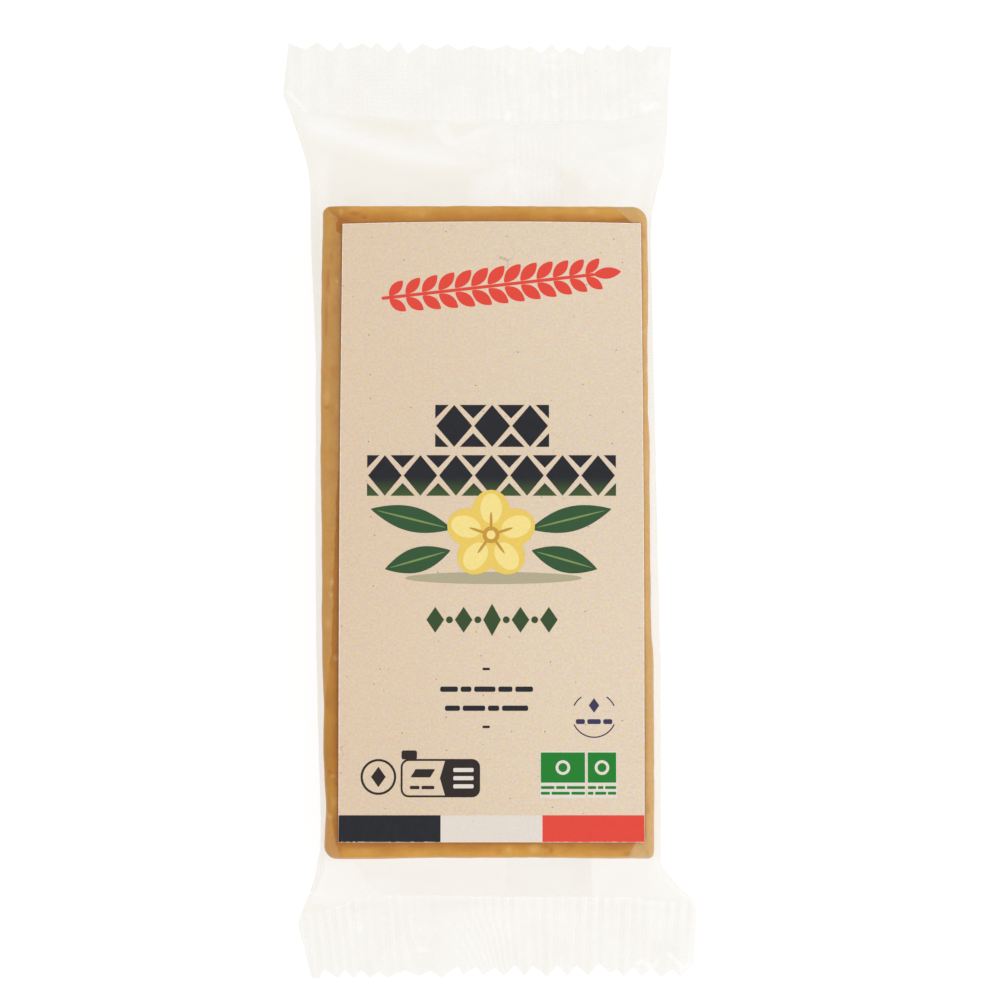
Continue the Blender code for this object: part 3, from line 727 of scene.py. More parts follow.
        (0.03, 3.6, [(-37.0, 79.5), (-22.0, 80.5), (-12.0, 79.0)]),
        (0.4, 1.4, [(-35.5, 78.4), (-31.0, 78.6)]), (0.2, 1.2, [(-21.0, 79.6), (-15.0, 78.4)]),
        (0.3, 2.2, [(-34.0, 97.5), (-20.0, 96.0)]),
        (-0.20, 2.2, [(-47.0, 97.5), (-33.0, 94.5), (-20.0, 90.5), (-10.0, 88.5)]),
        (-0.3, 1.6, [(-42.5, 88.0), (-42.5, 78.0)]), (-0.7, 3.0, [(37.5, 78.0), (39.5, 87.0)]),
        (-0.40, 6.0, [(7.0, 77.0), (12.0, 92.0)]), (-0.45, 5.5, [(10.0, -91.0), (17.0, -93.0)]),
        (-0.3, 3.0, [(28.0, 77.0), (33.0, 76.5)]),
        (0.4, 1.5, [(-46.0, -102.5), (0.0, -101.0), (51.0, -102.5)]),
    ],
    # creases: (height, half width, haze that paints a highlight along each crease, points), mm
    "creases": [
        (0.3, 1.5, 0.07, [(-50.5, 99.9), (-38.5, 95.1), (-23.9, 89.9), (-5.1, 87.3), (6.0, 86.0)]),
        (0.1, 0.8, 0.05, [(-35.9, 89.9), (-18.8, 88.2), (-1.6, 86.4)]),
        (0.2, 2.5, 0.05, [(-44.5, 88.2), (-27.4, 83.8), (-11.9, 80.4)]),
        (0.2, 0.8, 0.06, [(-14.0, 98.6), (-10.6, 98.2), (-12.8, 95.8), (-9.3, 92.5), (-5.0, 94.3),
                          (0.0, 97.0)]),
        (0.2, 0.8, 0.05, [(-9.3, 92.5), (-5.0, 89.6), (1.8, 86.6)]),
        (0.3, 0.8, 0.06, [(3.4, 98.6), (-1.6, 95.8), (-7.3, 92.8)]),
        (0.2, 0.8, 0.05, [(2.2, 98.8), (1.8, 92.5), (2.0, 85.8)]),
        (0.2, 0.8, 0.05, [(3.0, 98.8), (7.0, 93.4), (8.4, 88.6)]),
        (0.3, 0.8, 0.08, [(2.0, 99.0), (10.4, 93.0), (17.7, 88.6), (25.2, 83.6)]),
        (0.2, 0.8, 0.05, [(7.0, 86.6), (1.8, 84.3), (-5.8, 80.8)]),
        (0.2, 0.7, 0.06, [(6.0, 86.8), (7.0, 81.2), (8.9, 76.2)]),
        (0.2, 0.7, 0.06, [(5.4, 86.6), (12.1, 82.1), (16.2, 77.0)]),
        (0.2, 0.8, 0.07, [(4.6, 87.0), (15.5, 82.1), (22.4, 75.8)]),
        (0.1, 0.8, 0.04, [(0.0, 86.2), (8.0, 86.2), (17.0, 85.8)]),
        (0.2, 1.0, 0.07, [(21.5, 97.6), (29.3, 89.9), (34.4, 80.8)]),
        (0.3, 0.8, 0.05, [(23.6, 83.0), (28.4, 88.2), (37.0, 90.8), (46.4, 93.6)]),
        (0.2, 0.8, 0.06, [(25.0, 81.8), (31.0, 79.1), (36.0, 80.8)]),
        (0.1, 0.8, 0.06, [(33.4, 84.4), (34.0, 83.2), (35.0, 82.4)]),
        (0.2, 0.9, 0.07, [(27.0, 99.4), (37.0, 98.4), (46.6, 100.8)]),
        (0.0, 0.5, 0.20, [(-52.4, 107.2), (-49.4, 104.2), (-45.6, 100.4)]),
        (0.0, 0.7, 0.10, [(13.0, 113.6), (18.0, 112.6), (22.0, 113.8), (24.4, 113.0)]),
        (0.0, 0.6, 0.14, [(39.8, 103.4), (41.4, 101.4), (43.6, 103.2), (45.6, 101.6)]),
        (0.0, 0.6, 0.10, [(16.0, 112.0), (17.6, 106.0), (16.6, 101.0)]),
        (0.2, 0.8, 0.06, [(-45.6, -97.8), (-40.6, -99.2), (-34.4, -98.6)]),
        (0.0, 0.7, -0.04, [(-35.0, -91.8), (-30.6, -95.8), (-26.4, -99.4)]),
        (0.2, 0.8, 0.04, [(-31.6, -97.4), (-28.2, -95.2), (-22.0, -95.6)]),
        (0.3, 0.8, 0.06, [(42.0, -90.6), (46.6, -95.0), (51.4, -100.6)]),
        (0.0, 0.45, 0.20, [(36.6, -116.6), (39.1, -115.2), (41.2, -117.0), (43.6, -113.8)]),
        (0.0, 0.45, 0.20, [(44.8, -113.0), (47.4, -115.2), (49.0, -117.4), (51.6, -114.6)]),
    ],
}


# 1 between two places, with ramps of the given widths inside them
def between(at, low, high, lowRamp, highRamp):
    return easeIn((at - low) / lowRamp) * easeIn((high - at) / highRamp)


# crimp ribs of the seals: relief, haze of the crumples, ribs as turns and strength, and the waffled patch
def sealRibs(x, y, sealed):
    foot, sealAt = y < 0, film["sealAt"]
    leftAt, leftWidth, leftSlope = film["footLeanLeft"]
    rightAt, rightWidth, rightSlope = film["footLeanRight"]
    slope = leftSlope * easeIn((leftAt - x) / leftWidth) - rightSlope * easeIn((x - rightAt) / rightWidth)
    bendLeft, bendRight, bendWidth, bendAt, bendSlope = film["footBend"]
    bent = bendSlope * np.clip(bendAt - y, 0, 20) * between(x, bendLeft, bendRight, bendWidth, bendWidth)
    lean = np.where(foot, slope * (y + sealAt) - bent, film["headLean"] * (y - sealAt))
    pitches = [softLine(film[end], x, 4.0) for end in ("headPitch", "footPitch")]
    strengths = [softLine(film[end], x, 1.0) for end in ("headRibs", "footRibs")]
    turns = (x + lean + 0.5 * softNoise(x, y * 0.6, 7.0, 21)) / np.where(foot, pitches[1], pitches[0])
    strength = np.where(foot, strengths[1], strengths[0]) * (0.65 + 0.60 * softNoise(x, y * 0.35, 3.6, 22))
    cornerX, cornerY, cornerSlope = film["foldedCorner"]
    folded = ~foot & (y < cornerY - (x - cornerX) * cornerSlope)
    strength = np.where(folded, 0.1, strength) * sealed
    left, right, low, high = film["waffle"]
    patch = between(x, left, right, 3, 8) * between(y, low, high, 2, 5)
    crumple = softNoise(x, y, 1.5, 23) * (0.5 + 0.5 * softNoise(x, y, 10.0, 24)) * sealed
    crumple *= 0.7 + 0.8 * easeIn(x / 8) * ~foot
    relief = film["ribDepth"] * np.sin(2 * np.pi * turns) * strength + film["crumpleDepth"] * crumple
    ribValues = {"turns": turns, "ribs": strength, "waffle": patch * sealed}
    return relief, film["crumpleHaze"] * crumple, ribValues


# the mesh before it is bent: the place of each row along the pack, and of each column across it (-1 to 1)
def filmGrid():
    rows = [film["rows"][0][0]]
    for start, end, count in film["rows"]:
        rows += [mix(start, end, (step + 1) / count) for step in range(count)]
    nominal = np.array(rows)[:, None] * np.ones((1, film["columns"] + 1))
    return nominal, np.linspace(-1, 1, film["columns"] + 1)[None, :] * np.ones_like(nominal)


# the mesh in plan: the seals' inner edges and zigzag ends bend its rows, so the sides are read off again at
# the bent rows
def filmPlan(nominal, gathered, beyond):
    sealAt, y = film["sealAt"], nominal.copy()
    for turn in range(4):
        left, right = softLine(film["left"], y, 1.5), softLine(film["right"], y, 1.5)
        half = (right - left) / 2
        x = (left + right) / 2 + half * gathered
        for sign, name in ((1, "head"), (-1, "foot")):
            shoulder, inner = film[name + "Shoulder"], softLine(film[name + "Seal"], x, 3.0)
            end = np.interp(x, *zip(*film[name + "Teeth"]))
            end += sign * film["toothTip"] * np.clip(np.abs(end) - film["toothFrom"], 0, 1)
            before = (nominal - shoulder) / (sealAt * sign - shoulder)
            y = np.where((before > 0) & (before < 1), mix(shoulder, inner, before), y)
            y = np.where(before >= 1, mix(inner, end, beyond), y)
    return x, y, half


# relief, and the haze and change of tint that paint the highlights and shade of the creases, patches and
# facets
def filmFolds(x, y, sealed, openShare):
    relief, tintSheenShade, haze = np.zeros_like(x), np.zeros_like(x), film["sealHaze"] * sealed
    for height, width, bright, points in film["creases"]:
        away, share = alongLine(x, y, points)
        fade = easeIn(share / 0.15) * easeIn((1 - share) / 0.3)
        glint = bright * np.exp(-((away / width) ** 2)) * fade
        relief += height * np.exp(-away / width) * fade * easeIn(openShare * 8)
        haze += glint
        tintSheenShade -= film["creaseTint"] * glint
    for spotX, spotY, wide, long, bright in film["patches"]:
        haze += bright * np.exp(-(((x - spotX) / wide) ** 2) - ((y - spotY) / long) ** 2)
    for bright, soft, points in film["facets"]:
        inside = insideOf(x, y, points, soft) * (1 - sealed)
        haze += bright * inside
        tintSheenShade -= film["facetTint"] * bright * inside
    for strength, soft, points in film["paleFacets"]:
        tintSheenShade -= strength * insideOf(x, y, points, soft) * (1 - sealed)
    for strength, width, points in film["sheenShadeLines"]:
        tintSheenShade += strength * np.exp(-((alongLine(x, y, points)[0] / width) ** 2))
    return relief, haze, tintSheenShade


# painted highlights where the film bends off the block's ends, and bright lines along the seals' inner edges
def bendLines(x, y, nominal, gathered):
    haze = film["sealLine"] * np.exp(-(((np.abs(nominal) - film["sealAt"]) / film["sealLineWidth"]) ** 2))
    for end, outside, bright in film["endHighlights"]:
        line = np.exp(-(((y - softLine(block[end], x) - outside) / film["endHighlightWidth"]) ** 2))
        haze += bright * line * (np.abs(gathered) < 0.93) * (0.6 + 0.6 * softNoise(x, y * 0, 14.0, 36))
    return haze


# the two sheets of the tube as grids: x, y, height of the upper and of the lower sheet, and their values
def filmSheets():
    nominal, across = filmGrid()
    sealAt, headEnd, footEnd = film["sealAt"], film["headShoulder"], film["footShoulder"]
    ramp = np.maximum((nominal - headEnd) / (sealAt - headEnd), (footEnd - nominal) / (sealAt + footEnd))
    openShare = 1 - np.clip(ramp, 0, 1)
    sealed = 1 - easeIn(openShare * 12)
    flat = 1 - easeIn(openShare * 4)
    gathered = mix(np.sin(across * np.pi / 2), across, mix(0.5, 1.0, flat))
    beyond = np.clip((np.abs(nominal) - sealAt) / (film["half"] - sealAt), 0, 1)
    x, y, half = filmPlan(nominal, gathered, beyond)
    middle = film["sealHeight"] - film["sealSag"] * beyond + 0.35 * softNoise(x, y, 17.0, 31) * beyond
    sealTop = middle + film["sealGap"] / 2
    slope = mix(film["top"], sealTop, ramp)
    soft = film["shoulderRound"]
    high = -soft * np.logaddexp(-film["top"] / soft, -slope / soft)
    high = np.where(ramp >= 1, sealTop, np.maximum(high, sealTop))
    low = mix(middle - film["sealGap"] / 2, film["floor"], easeIn(openShare * 1.02))
    # elliptical sides, so that the sheet runs over the block's edge and down without a wall
    inwards = np.clip(1 - half * (1 - np.abs(gathered)) / film["sideBulge"], 0, 1)
    drop = (high - low) / 2 * (1 - np.sqrt(1 - inwards**2))
    # the loose film between the block's ends and the seals billows, and gathers next to the seals
    loose = 4 * openShare * (1 - openShare)
    nearSeal = np.exp(-openShare * 9) * easeIn(openShare * 14)
    gathers = nearSeal * film["gathers"] * softNoise(x, y * 0.25, 1.6, 32)
    broad, fine = film["billow"]
    billow = loose * (broad * softNoise(x, y, 15.0, 33) + fine * softNoise(x, y, 6.0, 34))
    inside = 1 - easeIn((np.abs(gathered) - 0.93) / 0.07)
    relief, haze, tintSheenShade = filmFolds(x, y, sealed, openShare)
    ribs, crumpleHaze, ribValues = sealRibs(x, y, sealed)
    haze += bendLines(x, y, nominal, gathered) + crumpleHaze
    upper = high - drop + (relief * np.clip(loose * 1.6, 0, 1) + billow + gathers) * inside + ribs
    lower = low + drop + (np.abs(billow) * 0.5 + np.abs(gathers) * 0.4) * inside + ribs
    edgeWave = 0.12 * softNoise(y * 0.16, x * 3, 1.0, 35) * easeIn((np.abs(gathered) - 0.9) / 0.1) * openShare
    tintSheenShade += film["sealTint"] * softNoise(x, y * 0.7, 4.0, 37) * sealed
    left, right, foot, head, pitch, strength = film["seamLines"]
    lines = np.sin(2 * np.pi * (x + 0.4 * softNoise(x, y, 8.0, 41)) / pitch).clip(0, 1)
    tintSheenShade -= strength * lines * between(x, left, right, 2, 2) * between(y, foot, head, 3, 3)
    # the haze carries the painted highlights of the creases, patches, facets and block ends as well as real
    # haze
    values = {"haze": haze * film["hazeGain"], "crimp": sealed, "tintSheenShade": tintSheenShade, **ribValues}
    return x + edgeWave, y, np.maximum(upper, film["floor"] + 0.05), np.maximum(lower, 0.03), values


# how steeply a sheet's folds stand at each point, 0 to 1, which thickens its haze too and paints highlights
# on the steep folds
def bendOf(x, y, z):
    across = np.gradient(z, axis=1) / np.maximum(np.abs(np.gradient(x, axis=1)), 0.12)
    along = np.gradient(z, axis=0) / np.maximum(np.abs(np.gradient(y, axis=0)), 0.3)
    along -= along.mean(axis=1, keepdims=True)
    inside = easeIn((x.max(axis=1, keepdims=True) - x) / 4) * easeIn((x - x.min(axis=1, keepdims=True)) / 4)
    return ((np.abs(across) * 0.8 + np.abs(along) * 0.5) * inside).clip(0, 1)


# rows of dimples along both axes of the waffled patch
def dimplesOf(tree, where, place):
    loose = noiseNode(tree, where, film["dimpleScale"], 1.0)
    waves = []
    for axis, pitch, sway in film["dimples"]:
        phase = mathNode(tree, "MULTIPLY_ADD", place.outputs[axis], 2 * math.pi / (pitch * mm),
                         mathNode(tree, "MULTIPLY", loose, sway))
        waves.append(mathNode(tree, "MULTIPLY_ADD", mathNode(tree, "SINE", phase), 0.5, 0.5))
    dimples = mathNode(tree, "SUBTRACT", mathNode(tree, "MULTIPLY", *waves), 0.25)
    uneven = mapRange(tree, loose, 0.35, 0.65, 0.04, 0.22)
    return mathNode(tree, "MULTIPLY", mathNode(tree, "MULTIPLY", dimples, uneven), valueOf(tree, "waffle"))


# the haze: clouds, painted highlights on the folds, lengthwise streaks and ribs of the seals, and dimples
def veilOf(tree, where, place, haze, foldHazeAndSheen):
    cloud = noiseNode(tree, where, film["cloudScale"], 3.0, 0.6)
    veil = mapRange(tree, cloud, 0.3, 0.7, *haze)
    veil = mathNode(tree, "MULTIPLY_ADD", valueOf(tree, "bend"), foldHazeAndSheen, veil)
    veil = mathNode(tree, "ADD", valueOf(tree, "haze"), veil)
    stretched = addNode(tree, "ShaderNodeMapping", {"Vector": where, "Scale": (1.0, 0.2, 0.0)}).outputs[0]
    streakHaze, ribHaze = film["streakHaze"], film["ribHaze"]
    streaks = noiseNode(tree, stretched, film["streakScale"], 1.0)
    streaks = mapRange(tree, streaks, 0.3, 0.7, -streakHaze, streakHaze)
    veil = mathNode(tree, "MULTIPLY_ADD", valueOf(tree, "crimp"), streaks, veil)
    wave = mathNode(tree, "SINE", mathNode(tree, "MULTIPLY", valueOf(tree, "turns"), 2 * math.pi))
    bands = mapRange(tree, wave, -0.75, 0.75, -ribHaze, ribHaze, True)
    veil = mathNode(tree, "MULTIPLY_ADD", bands, valueOf(tree, "ribs"), veil)
    return mathNode(tree, "ADD", dimplesOf(tree, where, place), veil)


# how white the film is over clear: thin outside the seals and dense in them; on the paste it clings and
# nearly vanishes, apart from where it is lifted
def whiteShare(tree, gloss, veil):
    lifted = addNode(tree, "ShaderNodeGroup", node_tree=liftedFilm)
    off = mathNode(tree, "ADD", lifted.outputs["Left"], lifted.outputs["Right"], clamp=True)
    clinging = mathNode(tree, "MULTIPLY_ADD", off, -0.6, 1.0)
    clinging = mathNode(tree, "MULTIPLY", valueOf(tree, "touch"), clinging)
    dense = mathNode(tree, "GREATER_THAN", valueOf(tree, "crimp"), 0.5)
    share = mathNode(tree, "ADD", gloss, mathNode(tree, "MAXIMUM", veil, 0.0))
    share = mathNode(tree, "MINIMUM", share, mathNode(tree, "ADD", dense, film["thinHaze"]))
    share = mathNode(tree, "MAXIMUM", share, mathNode(tree, "MULTIPLY", dense, film["denseHaze"]))
    return mathNode(tree, "MULTIPLY", share, mapRange(tree, clinging, 0.0, 1.0, 1.0, 0.12), clamp=True)


# the tint of both sheets, paler with painted sheen and deeper with painted shade from place to place
def sheetTint(tree):
    pale, dark = [tuple(level + sign * span for level, span in zip(film["tint"], film["tintSpan"])) + (1.0,)
                  for sign in (1, -1)]
    return mixColour(tree, mapRange(tree, valueOf(tree, "tintSheenShade"), -1.0, 1.0), pale, dark)


# clear plastic under a gloss, either hazy and of an even tint, or without haze and of the sheets' tint
def makeFilmMaterial(name, shine, tint=None, haze=None, foldHazeAndSheen=0.0):
    material, tree, shader = newMaterial(name)
    where, place = placeOf(tree)
    wrinkles = noiseNode(tree, where, film["wrinkleScale"], 2.0, 0.6)
    bump = addNode(tree, "ShaderNodeBump", {"Height": wrinkles, "Strength": film["wrinkleStrength"],
                                            "Distance": film["wrinkleHeight"]})
    fresnel = addNode(tree, "ShaderNodeFresnel", {"IOR": 1.45, "Normal": bump.outputs["Normal"]}).outputs[0]
    gloss = mathNode(tree, "MINIMUM", mathNode(tree, "MULTIPLY", fresnel, shine), film["mostGloss"])
    share = whiteShare(tree, gloss, veilOf(tree, where, place, haze, foldHazeAndSheen)) if haze else gloss
    shader.inputs["Base Color"].default_value = srgb(254, 254, 254)
    shader.inputs["Roughness"].default_value = 0.30
    shader.inputs["IOR"].default_value = 1.5
    tree.links.new(bump.outputs["Normal"], shader.inputs["Normal"])
    clear = addNode(tree, "ShaderNodeBsdfTransparent", {"Color": tint or sheetTint(tree)})
    mixer = addNode(tree, "ShaderNodeMixShader", {0: share, 1: clear.outputs[0], 2: shader.outputs[0]})
    tree.links.new(mixer.outputs[0], tree.nodes["Material Output"].inputs["Surface"])
    return material


# 1 over the block's flat, falling to 0 at its outline
def touchOf(x, y):
    left, right = softLine(block["left"], y), softLine(block["right"], y)
    side = np.minimum(x - left, right - x)
    end = np.minimum(softLine(block["head"], x) - y, y - softLine(block["foot"], x))
    return easeIn(np.minimum(side, end) / 0.9)


filmX, filmY, filmUpper, filmLower, filmValues = filmSheets()
filmValues["touch"] = touchOf(filmX, filmY)
filmValues["bend"] = bendOf(filmX, filmY, filmUpper)
filmValues = {label: np.stack([levels, levels]) for label, levels in filmValues.items()}
filmMaterials = [makeFilmMaterial("upperFilm", 0.8, (1.0, 1.0, 1.0, 1.0), film["haze"], film["foldHazeAndSheen"]),
                 makeFilmMaterial("lowerFilm", 0.8)]
filmWrapper = makePiece("filmWrapper", slabPoints(filmX, filmY, filmUpper, filmLower),
                        slabFaces(*filmX.shape), filmMaterials, 70, filmValues)
sheetOf = np.ones(len(filmWrapper.data.polygons), dtype=np.int32)
sheetOf[:(filmX.shape[0] - 1) * (filmX.shape[1] - 1)] = 0
filmWrapper.data.polygons.foreach_set("material_index", sheetOf)

print("stage 4: back seam")

seam = {"foot": -99.4, "head": 98.6, "step": 1.0, "columns": 80,
        "left": (4.7, 6.9), "right": (26.5, 19.4),           # x at the foot and at the head
        "lift": 0.14, "thickness": 0.05,
        "ribPitch": 1.25, "ribDepth": 0.01, "ribFrom": 0.85,  # the ribs start at this share of the length
        "tint": (0.998, 0.997, 0.994, 1.0), "haze": (0.006, 0.006), "shine": 0.15}


# the tube's lengthwise seal, folded flat against the back, which shows through the film at both ends
def makeSeam():
    rows = np.arange(seam["foot"], seam["head"], seam["step"])
    y, share = np.meshgrid(rows, np.linspace(0, 1, seam["columns"] + 1), indexing="ij")
    along = (y - seam["foot"]) / (seam["head"] - seam["foot"])
    x = mix(mix(*seam["left"], along), mix(*seam["right"], along), share)
    nearest = np.abs(filmY[:, filmY.shape[1] // 2][None, :] - rows[:, None]).argmin(axis=1)
    ground = np.stack([np.interp(x[n], filmX[row], filmLower[row]) for n, row in enumerate(nearest)])
    # lengthwise ribs, which only show towards the head
    ribs = np.sin(2 * np.pi * (x + 0.3 * softNoise(x, y, 8.0, 41)) / seam["ribPitch"])
    ribs *= easeIn((along - seam["ribFrom"]) * 10)
    upper = ground + seam["lift"] + seam["thickness"] + seam["ribDepth"] * ribs
    points = slabPoints(x, y, upper, upper - seam["thickness"])
    material = makeFilmMaterial("seamFilm", seam["shine"], seam["tint"], seam["haze"])
    bend = np.stack([ribs.clip(0, 1) * easeIn((seam["head"] - y) / 4)] * 2)
    return makePiece("backSeam", points, slabFaces(*x.shape), [material], 70, {"bend": bend})


backSeam = makeSeam()

print("stage 5: paper label")

labelLow, labelHigh = boxOf("paper_label")
label = {
    "left": labelLow[0], "right": labelHigh[0], "foot": labelLow[1], "head": labelHigh[1],
    # the sides bulge a little, as the block does under them, and so does the head edge: how much at its
    # middle, where that is, and the distance to where it ends
    "bow": 0.28, "headBow": (0.6, 3.0, 40.0),
    "bottom": film["top"] + 0.22, "thickness": 0.14, "swell": 0.10,
    "columns": 60, "rows": 120,
    "margin": 0.12,                      # bare white edge left by the cut
    # the paper's tone at the left and at the right, from where to where it turns, and the cut edge's tone
    "paper": (srgb(223, 202, 178), srgb(225, 209, 188)), "paperSpan": (-36.0, 39.0),
    "bare": srgb(250, 245, 236),
}


# left and right edge of the label at a height y
def labelEdges(y):
    along = (y - label["foot"]) / (label["head"] - label["foot"])
    bow = label["bow"] * np.sin(np.pi * np.clip(along, 0, 1))
    return label["left"] - bow, label["right"] + bow


# height of the label's face, which swells a little
def labelTop(x, y):
    across = (x - label["left"]) / (label["right"] - label["left"])
    along = (y - label["foot"]) / (label["head"] - label["foot"])
    swell = np.sin(np.pi * np.clip(across, 0, 1)) * np.sin(np.pi * np.clip(along, 0, 1))
    return label["bottom"] + label["thickness"] + label["swell"] * swell


# links a colour and the paper grain's gloss and relief to a shader
def dressPaper(tree, shader, grain, colour):
    tree.links.new(colour, shader.inputs["Base Color"])
    tree.links.new(grain.outputs["Roughness"], shader.inputs["Roughness"])
    tree.links.new(grain.outputs["Normal"], shader.inputs["Normal"])
    shader.inputs["Specular IOR Level"].default_value = 0.3


# an ink on the paper, of one tone or fading into a second one between two heights
def makeInkMaterial(name, tone, specks, second=None, span=None):
    material, tree, shader = newMaterial(name)
    grain = addNode(tree, "ShaderNodeGroup", node_tree=paperGrain)
    for socket, value in {"Colour": tone, "Specks": specks, "Mottle": 0.5, "Relief": 0.7}.items():
        grain.inputs[socket].default_value = value
    if second:
        share = maskAlong(tree, placeOf(tree)[1], "Y", *span, 1.0, 0.0, True)
        tree.links.new(mixColour(tree, share, tone, second), grain.inputs["Colour"])
    dressPaper(tree, shader, grain, grain.outputs["Colour"])
    return material


# speckled paper, bare along its cut edge
def makePaper():
    material, tree, shader = newMaterial("labelPaper")
    where, place = placeOf(tree)
    edge = mathNode(tree, "MINIMUM", valueOf(tree, "fromSide"), valueOf(tree, "fromEnd"))
    ragged = mapRange(tree, noiseNode(tree, where, 900.0, 2.0), 0.3, 0.7, -0.07, 0.07)
    bare = mapRange(tree, mathNode(tree, "ADD", edge, ragged), label["margin"] - 0.05, label["margin"] + 0.05,
                    1.0, 0.0)
    drift = mapRange(tree, noiseNode(tree, where, 14.0, 1.0), 0.3, 0.7, 0.98, 1.015)
    grain = addNode(tree, "ShaderNodeGroup", node_tree=paperGrain)
    paper = mixColour(tree, maskAlong(tree, place, "X", *label["paperSpan"], 0.0, 1.0), *label["paper"])
    tree.links.new(shadeColour(tree, paper, drift), grain.inputs["Colour"])
    dressPaper(tree, shader, grain, mixColour(tree, bare, grain.outputs["Colour"], label["bare"]))
    return material


def makeLabel():
    along, across = np.meshgrid(np.linspace(0, 1, label["rows"] + 1), np.linspace(0, 1, label["columns"] + 1),
                                indexing="ij")
    y = mix(label["foot"], label["head"], along)
    left, right = labelEdges(y)
    x = mix(left, right, across)
    bow, middle, reach = label["headBow"]
    y += bow * (1 - ((x - middle) / reach) ** 2) * along
    upper = labelTop(x, y)
    side = np.minimum(across, 1 - across) * (right - left)
    end = np.minimum(along, 1 - along) * (label["head"] - label["foot"])
    values = {"fromSide": np.stack([side, side * 0 + 9]), "fromEnd": np.stack([end, end * 0 + 9])}
    return makePiece("paperLabel", slabPoints(x, y, upper, upper - label["thickness"]), slabFaces(*x.shape),
                     [makePaper()], 40, values)


paperLabel = makeLabel()

print("stage 6: print on the label")

# tone of each ink, and what two of them fade into between two heights
inkTones = {
    "dark": srgb(31, 32, 39), "fade": srgb(31, 32, 39), "red": srgb(226, 70, 56),
    "white": srgb(226, 218, 209), "brown": srgb(42, 34, 31), "green": srgb(52, 76, 42),
    "leaf": srgb(48, 84, 50), "vein": srgb(122, 146, 84), "petal": srgb(234, 202, 96),
    "glow": srgb(244, 224, 142), "heart": srgb(196, 150, 58), "navy": srgb(58, 52, 88),
    "field": srgb(24, 126, 40), "shadow": srgb(178, 170, 140),
}
inkFades = {"fade": (srgb(62, 84, 44), (0.2, 5.2))}
inkSpecks = {"white": 0.3}
# every ink is a list of (points, level); a higher level lies on top of a lower one
inks = {name: [] for name in inkTones}
printing = {"base": 0.02, "step": 0.012}


def addShape(ink, points, level=1):
    inks[ink].append((points, level))


# turns unit shapes into points on the label: middle, size and turn in degrees
def placed(points, x, y, width, height, turn=0.0):
    stepX, stepY = math.cos(math.radians(turn)), math.sin(math.radians(turn))
    return [(x + px * width * stepX - py * height * stepY, y + px * width * stepY + py * height * stepX)
            for px, py in points]


def ovalPoints(count=40):
    angles = [2 * math.pi * n / count for n in range(count)]
    return [(math.cos(angle) / 2, math.sin(angle) / 2) for angle in angles]


def leafPoints(count=24, belly=1.0):
    lower = [(n / count - 0.5, -0.5 * math.sin(math.pi * n / count) ** belly) for n in range(count)]
    return lower + [(-px, -py) for px, py in lower]


def roundedPoints(width, height, radius, count=6):
    points = []
    for cornerX, cornerY, start in ((1, 1, 0), (-1, 1, 90), (-1, -1, 180), (1, -1, 270)):
        for n in range(count + 1):
            angle = math.radians(start + 90 * n / count)
            points.append((cornerX * (width / 2 - radius) + radius * math.cos(angle),
                           cornerY * (height / 2 - radius) + radius * math.sin(angle)))
    return points


boxPoints = [(-0.5, -0.5), (0.5, -0.5), (0.5, 0.5), (-0.5, 0.5)]
lozengePoints = [(0, -0.5), (0.5, 0), (0, 0.5), (-0.5, 0)]


# frieze of lozenges with small triangles between them, above and below
def addFrieze(ink, left, right, foot, head, count, gap=1.4):
    pitch, middle, tall = (right - left) / count, (foot + head) / 2, head - foot
    for n in range(count):
        addShape(ink, placed(lozengePoints, left + pitch * (n + 0.5), middle, pitch - 0.5, tall))
    for n in range(count + 1):
        x, reach = left + pitch * n, pitch / 2 - gap
        for sign in (-1, 1):
            base, tip = middle + sign * tall / 2, middle + sign * (gap * tall / pitch + 0.3)
            addShape(ink, [(max(x - reach, left), base), (min(x + reach, right), base), (x, tip)])


# plain bars in the place of small text
def addBars(ink, left, right, y, height, lengths, gap=0.7, level=1):
    scale = (right - left - gap * (len(lengths) - 1)) / sum(lengths)
    x = left
    for length in lengths:
        bar = roundedPoints(length * scale, height, height * 0.35)
        addShape(ink, placed(bar, x + length * scale / 2, y, 1, 1), level)
        x += length * scale + gap


def addRing(ink, x, y, outer, inner, start=0, sweep=360, count=48):
    for n in range(count):
        a, b = math.radians(start + sweep * n / count), math.radians(start + sweep * (n + 1) / count)
        addShape(ink, [(x + outer * math.cos(a), y + outer * math.sin(a)),
                       (x + outer * math.cos(b), y + outer * math.sin(b)),
                       (x + inner * math.cos(b), y + inner * math.sin(b)),
                       (x + inner * math.cos(a), y + inner * math.sin(a))])


# thin frame between two outlines of as many points
def addFrame(ink, outer, inner, x, y, level=1):
    outer, inner = placed(outer, x, y, 1, 1), placed(inner, x, y, 1, 1)
    for n in range(len(outer)):
        after = (n + 1) % len(outer)
        addShape(ink, [outer[n], outer[after], inner[after], inner[n]], level)


stripe = {"inset": 0.05, "head": -79.0, "wear": (0.03, 0.05, 0.2), "steps": 60}


# three plain fields across the foot of the label, worn at the cut edge
def addStripe():
    inset, head, steps = stripe["inset"], stripe["head"], stripe["steps"]
    mean, spread, most = stripe["wear"]
    foot = label["foot"] + inset
    left, right = (float(side) for side in labelEdges((foot + head) / 2))
    third = (right - left - 2 * inset) / 3
    wear = np.random.default_rng(61)
    for index, ink in enumerate(("dark", "white", "red")):
        start = left + inset + third * index
        worn = wear.normal(mean, spread, steps + 1).clip(0, most)
        points = [(start + third * n / steps, foot + worn[n]) for n in range(steps + 1)]
        addShape(ink, points + [(start + third, head), (start, head)])


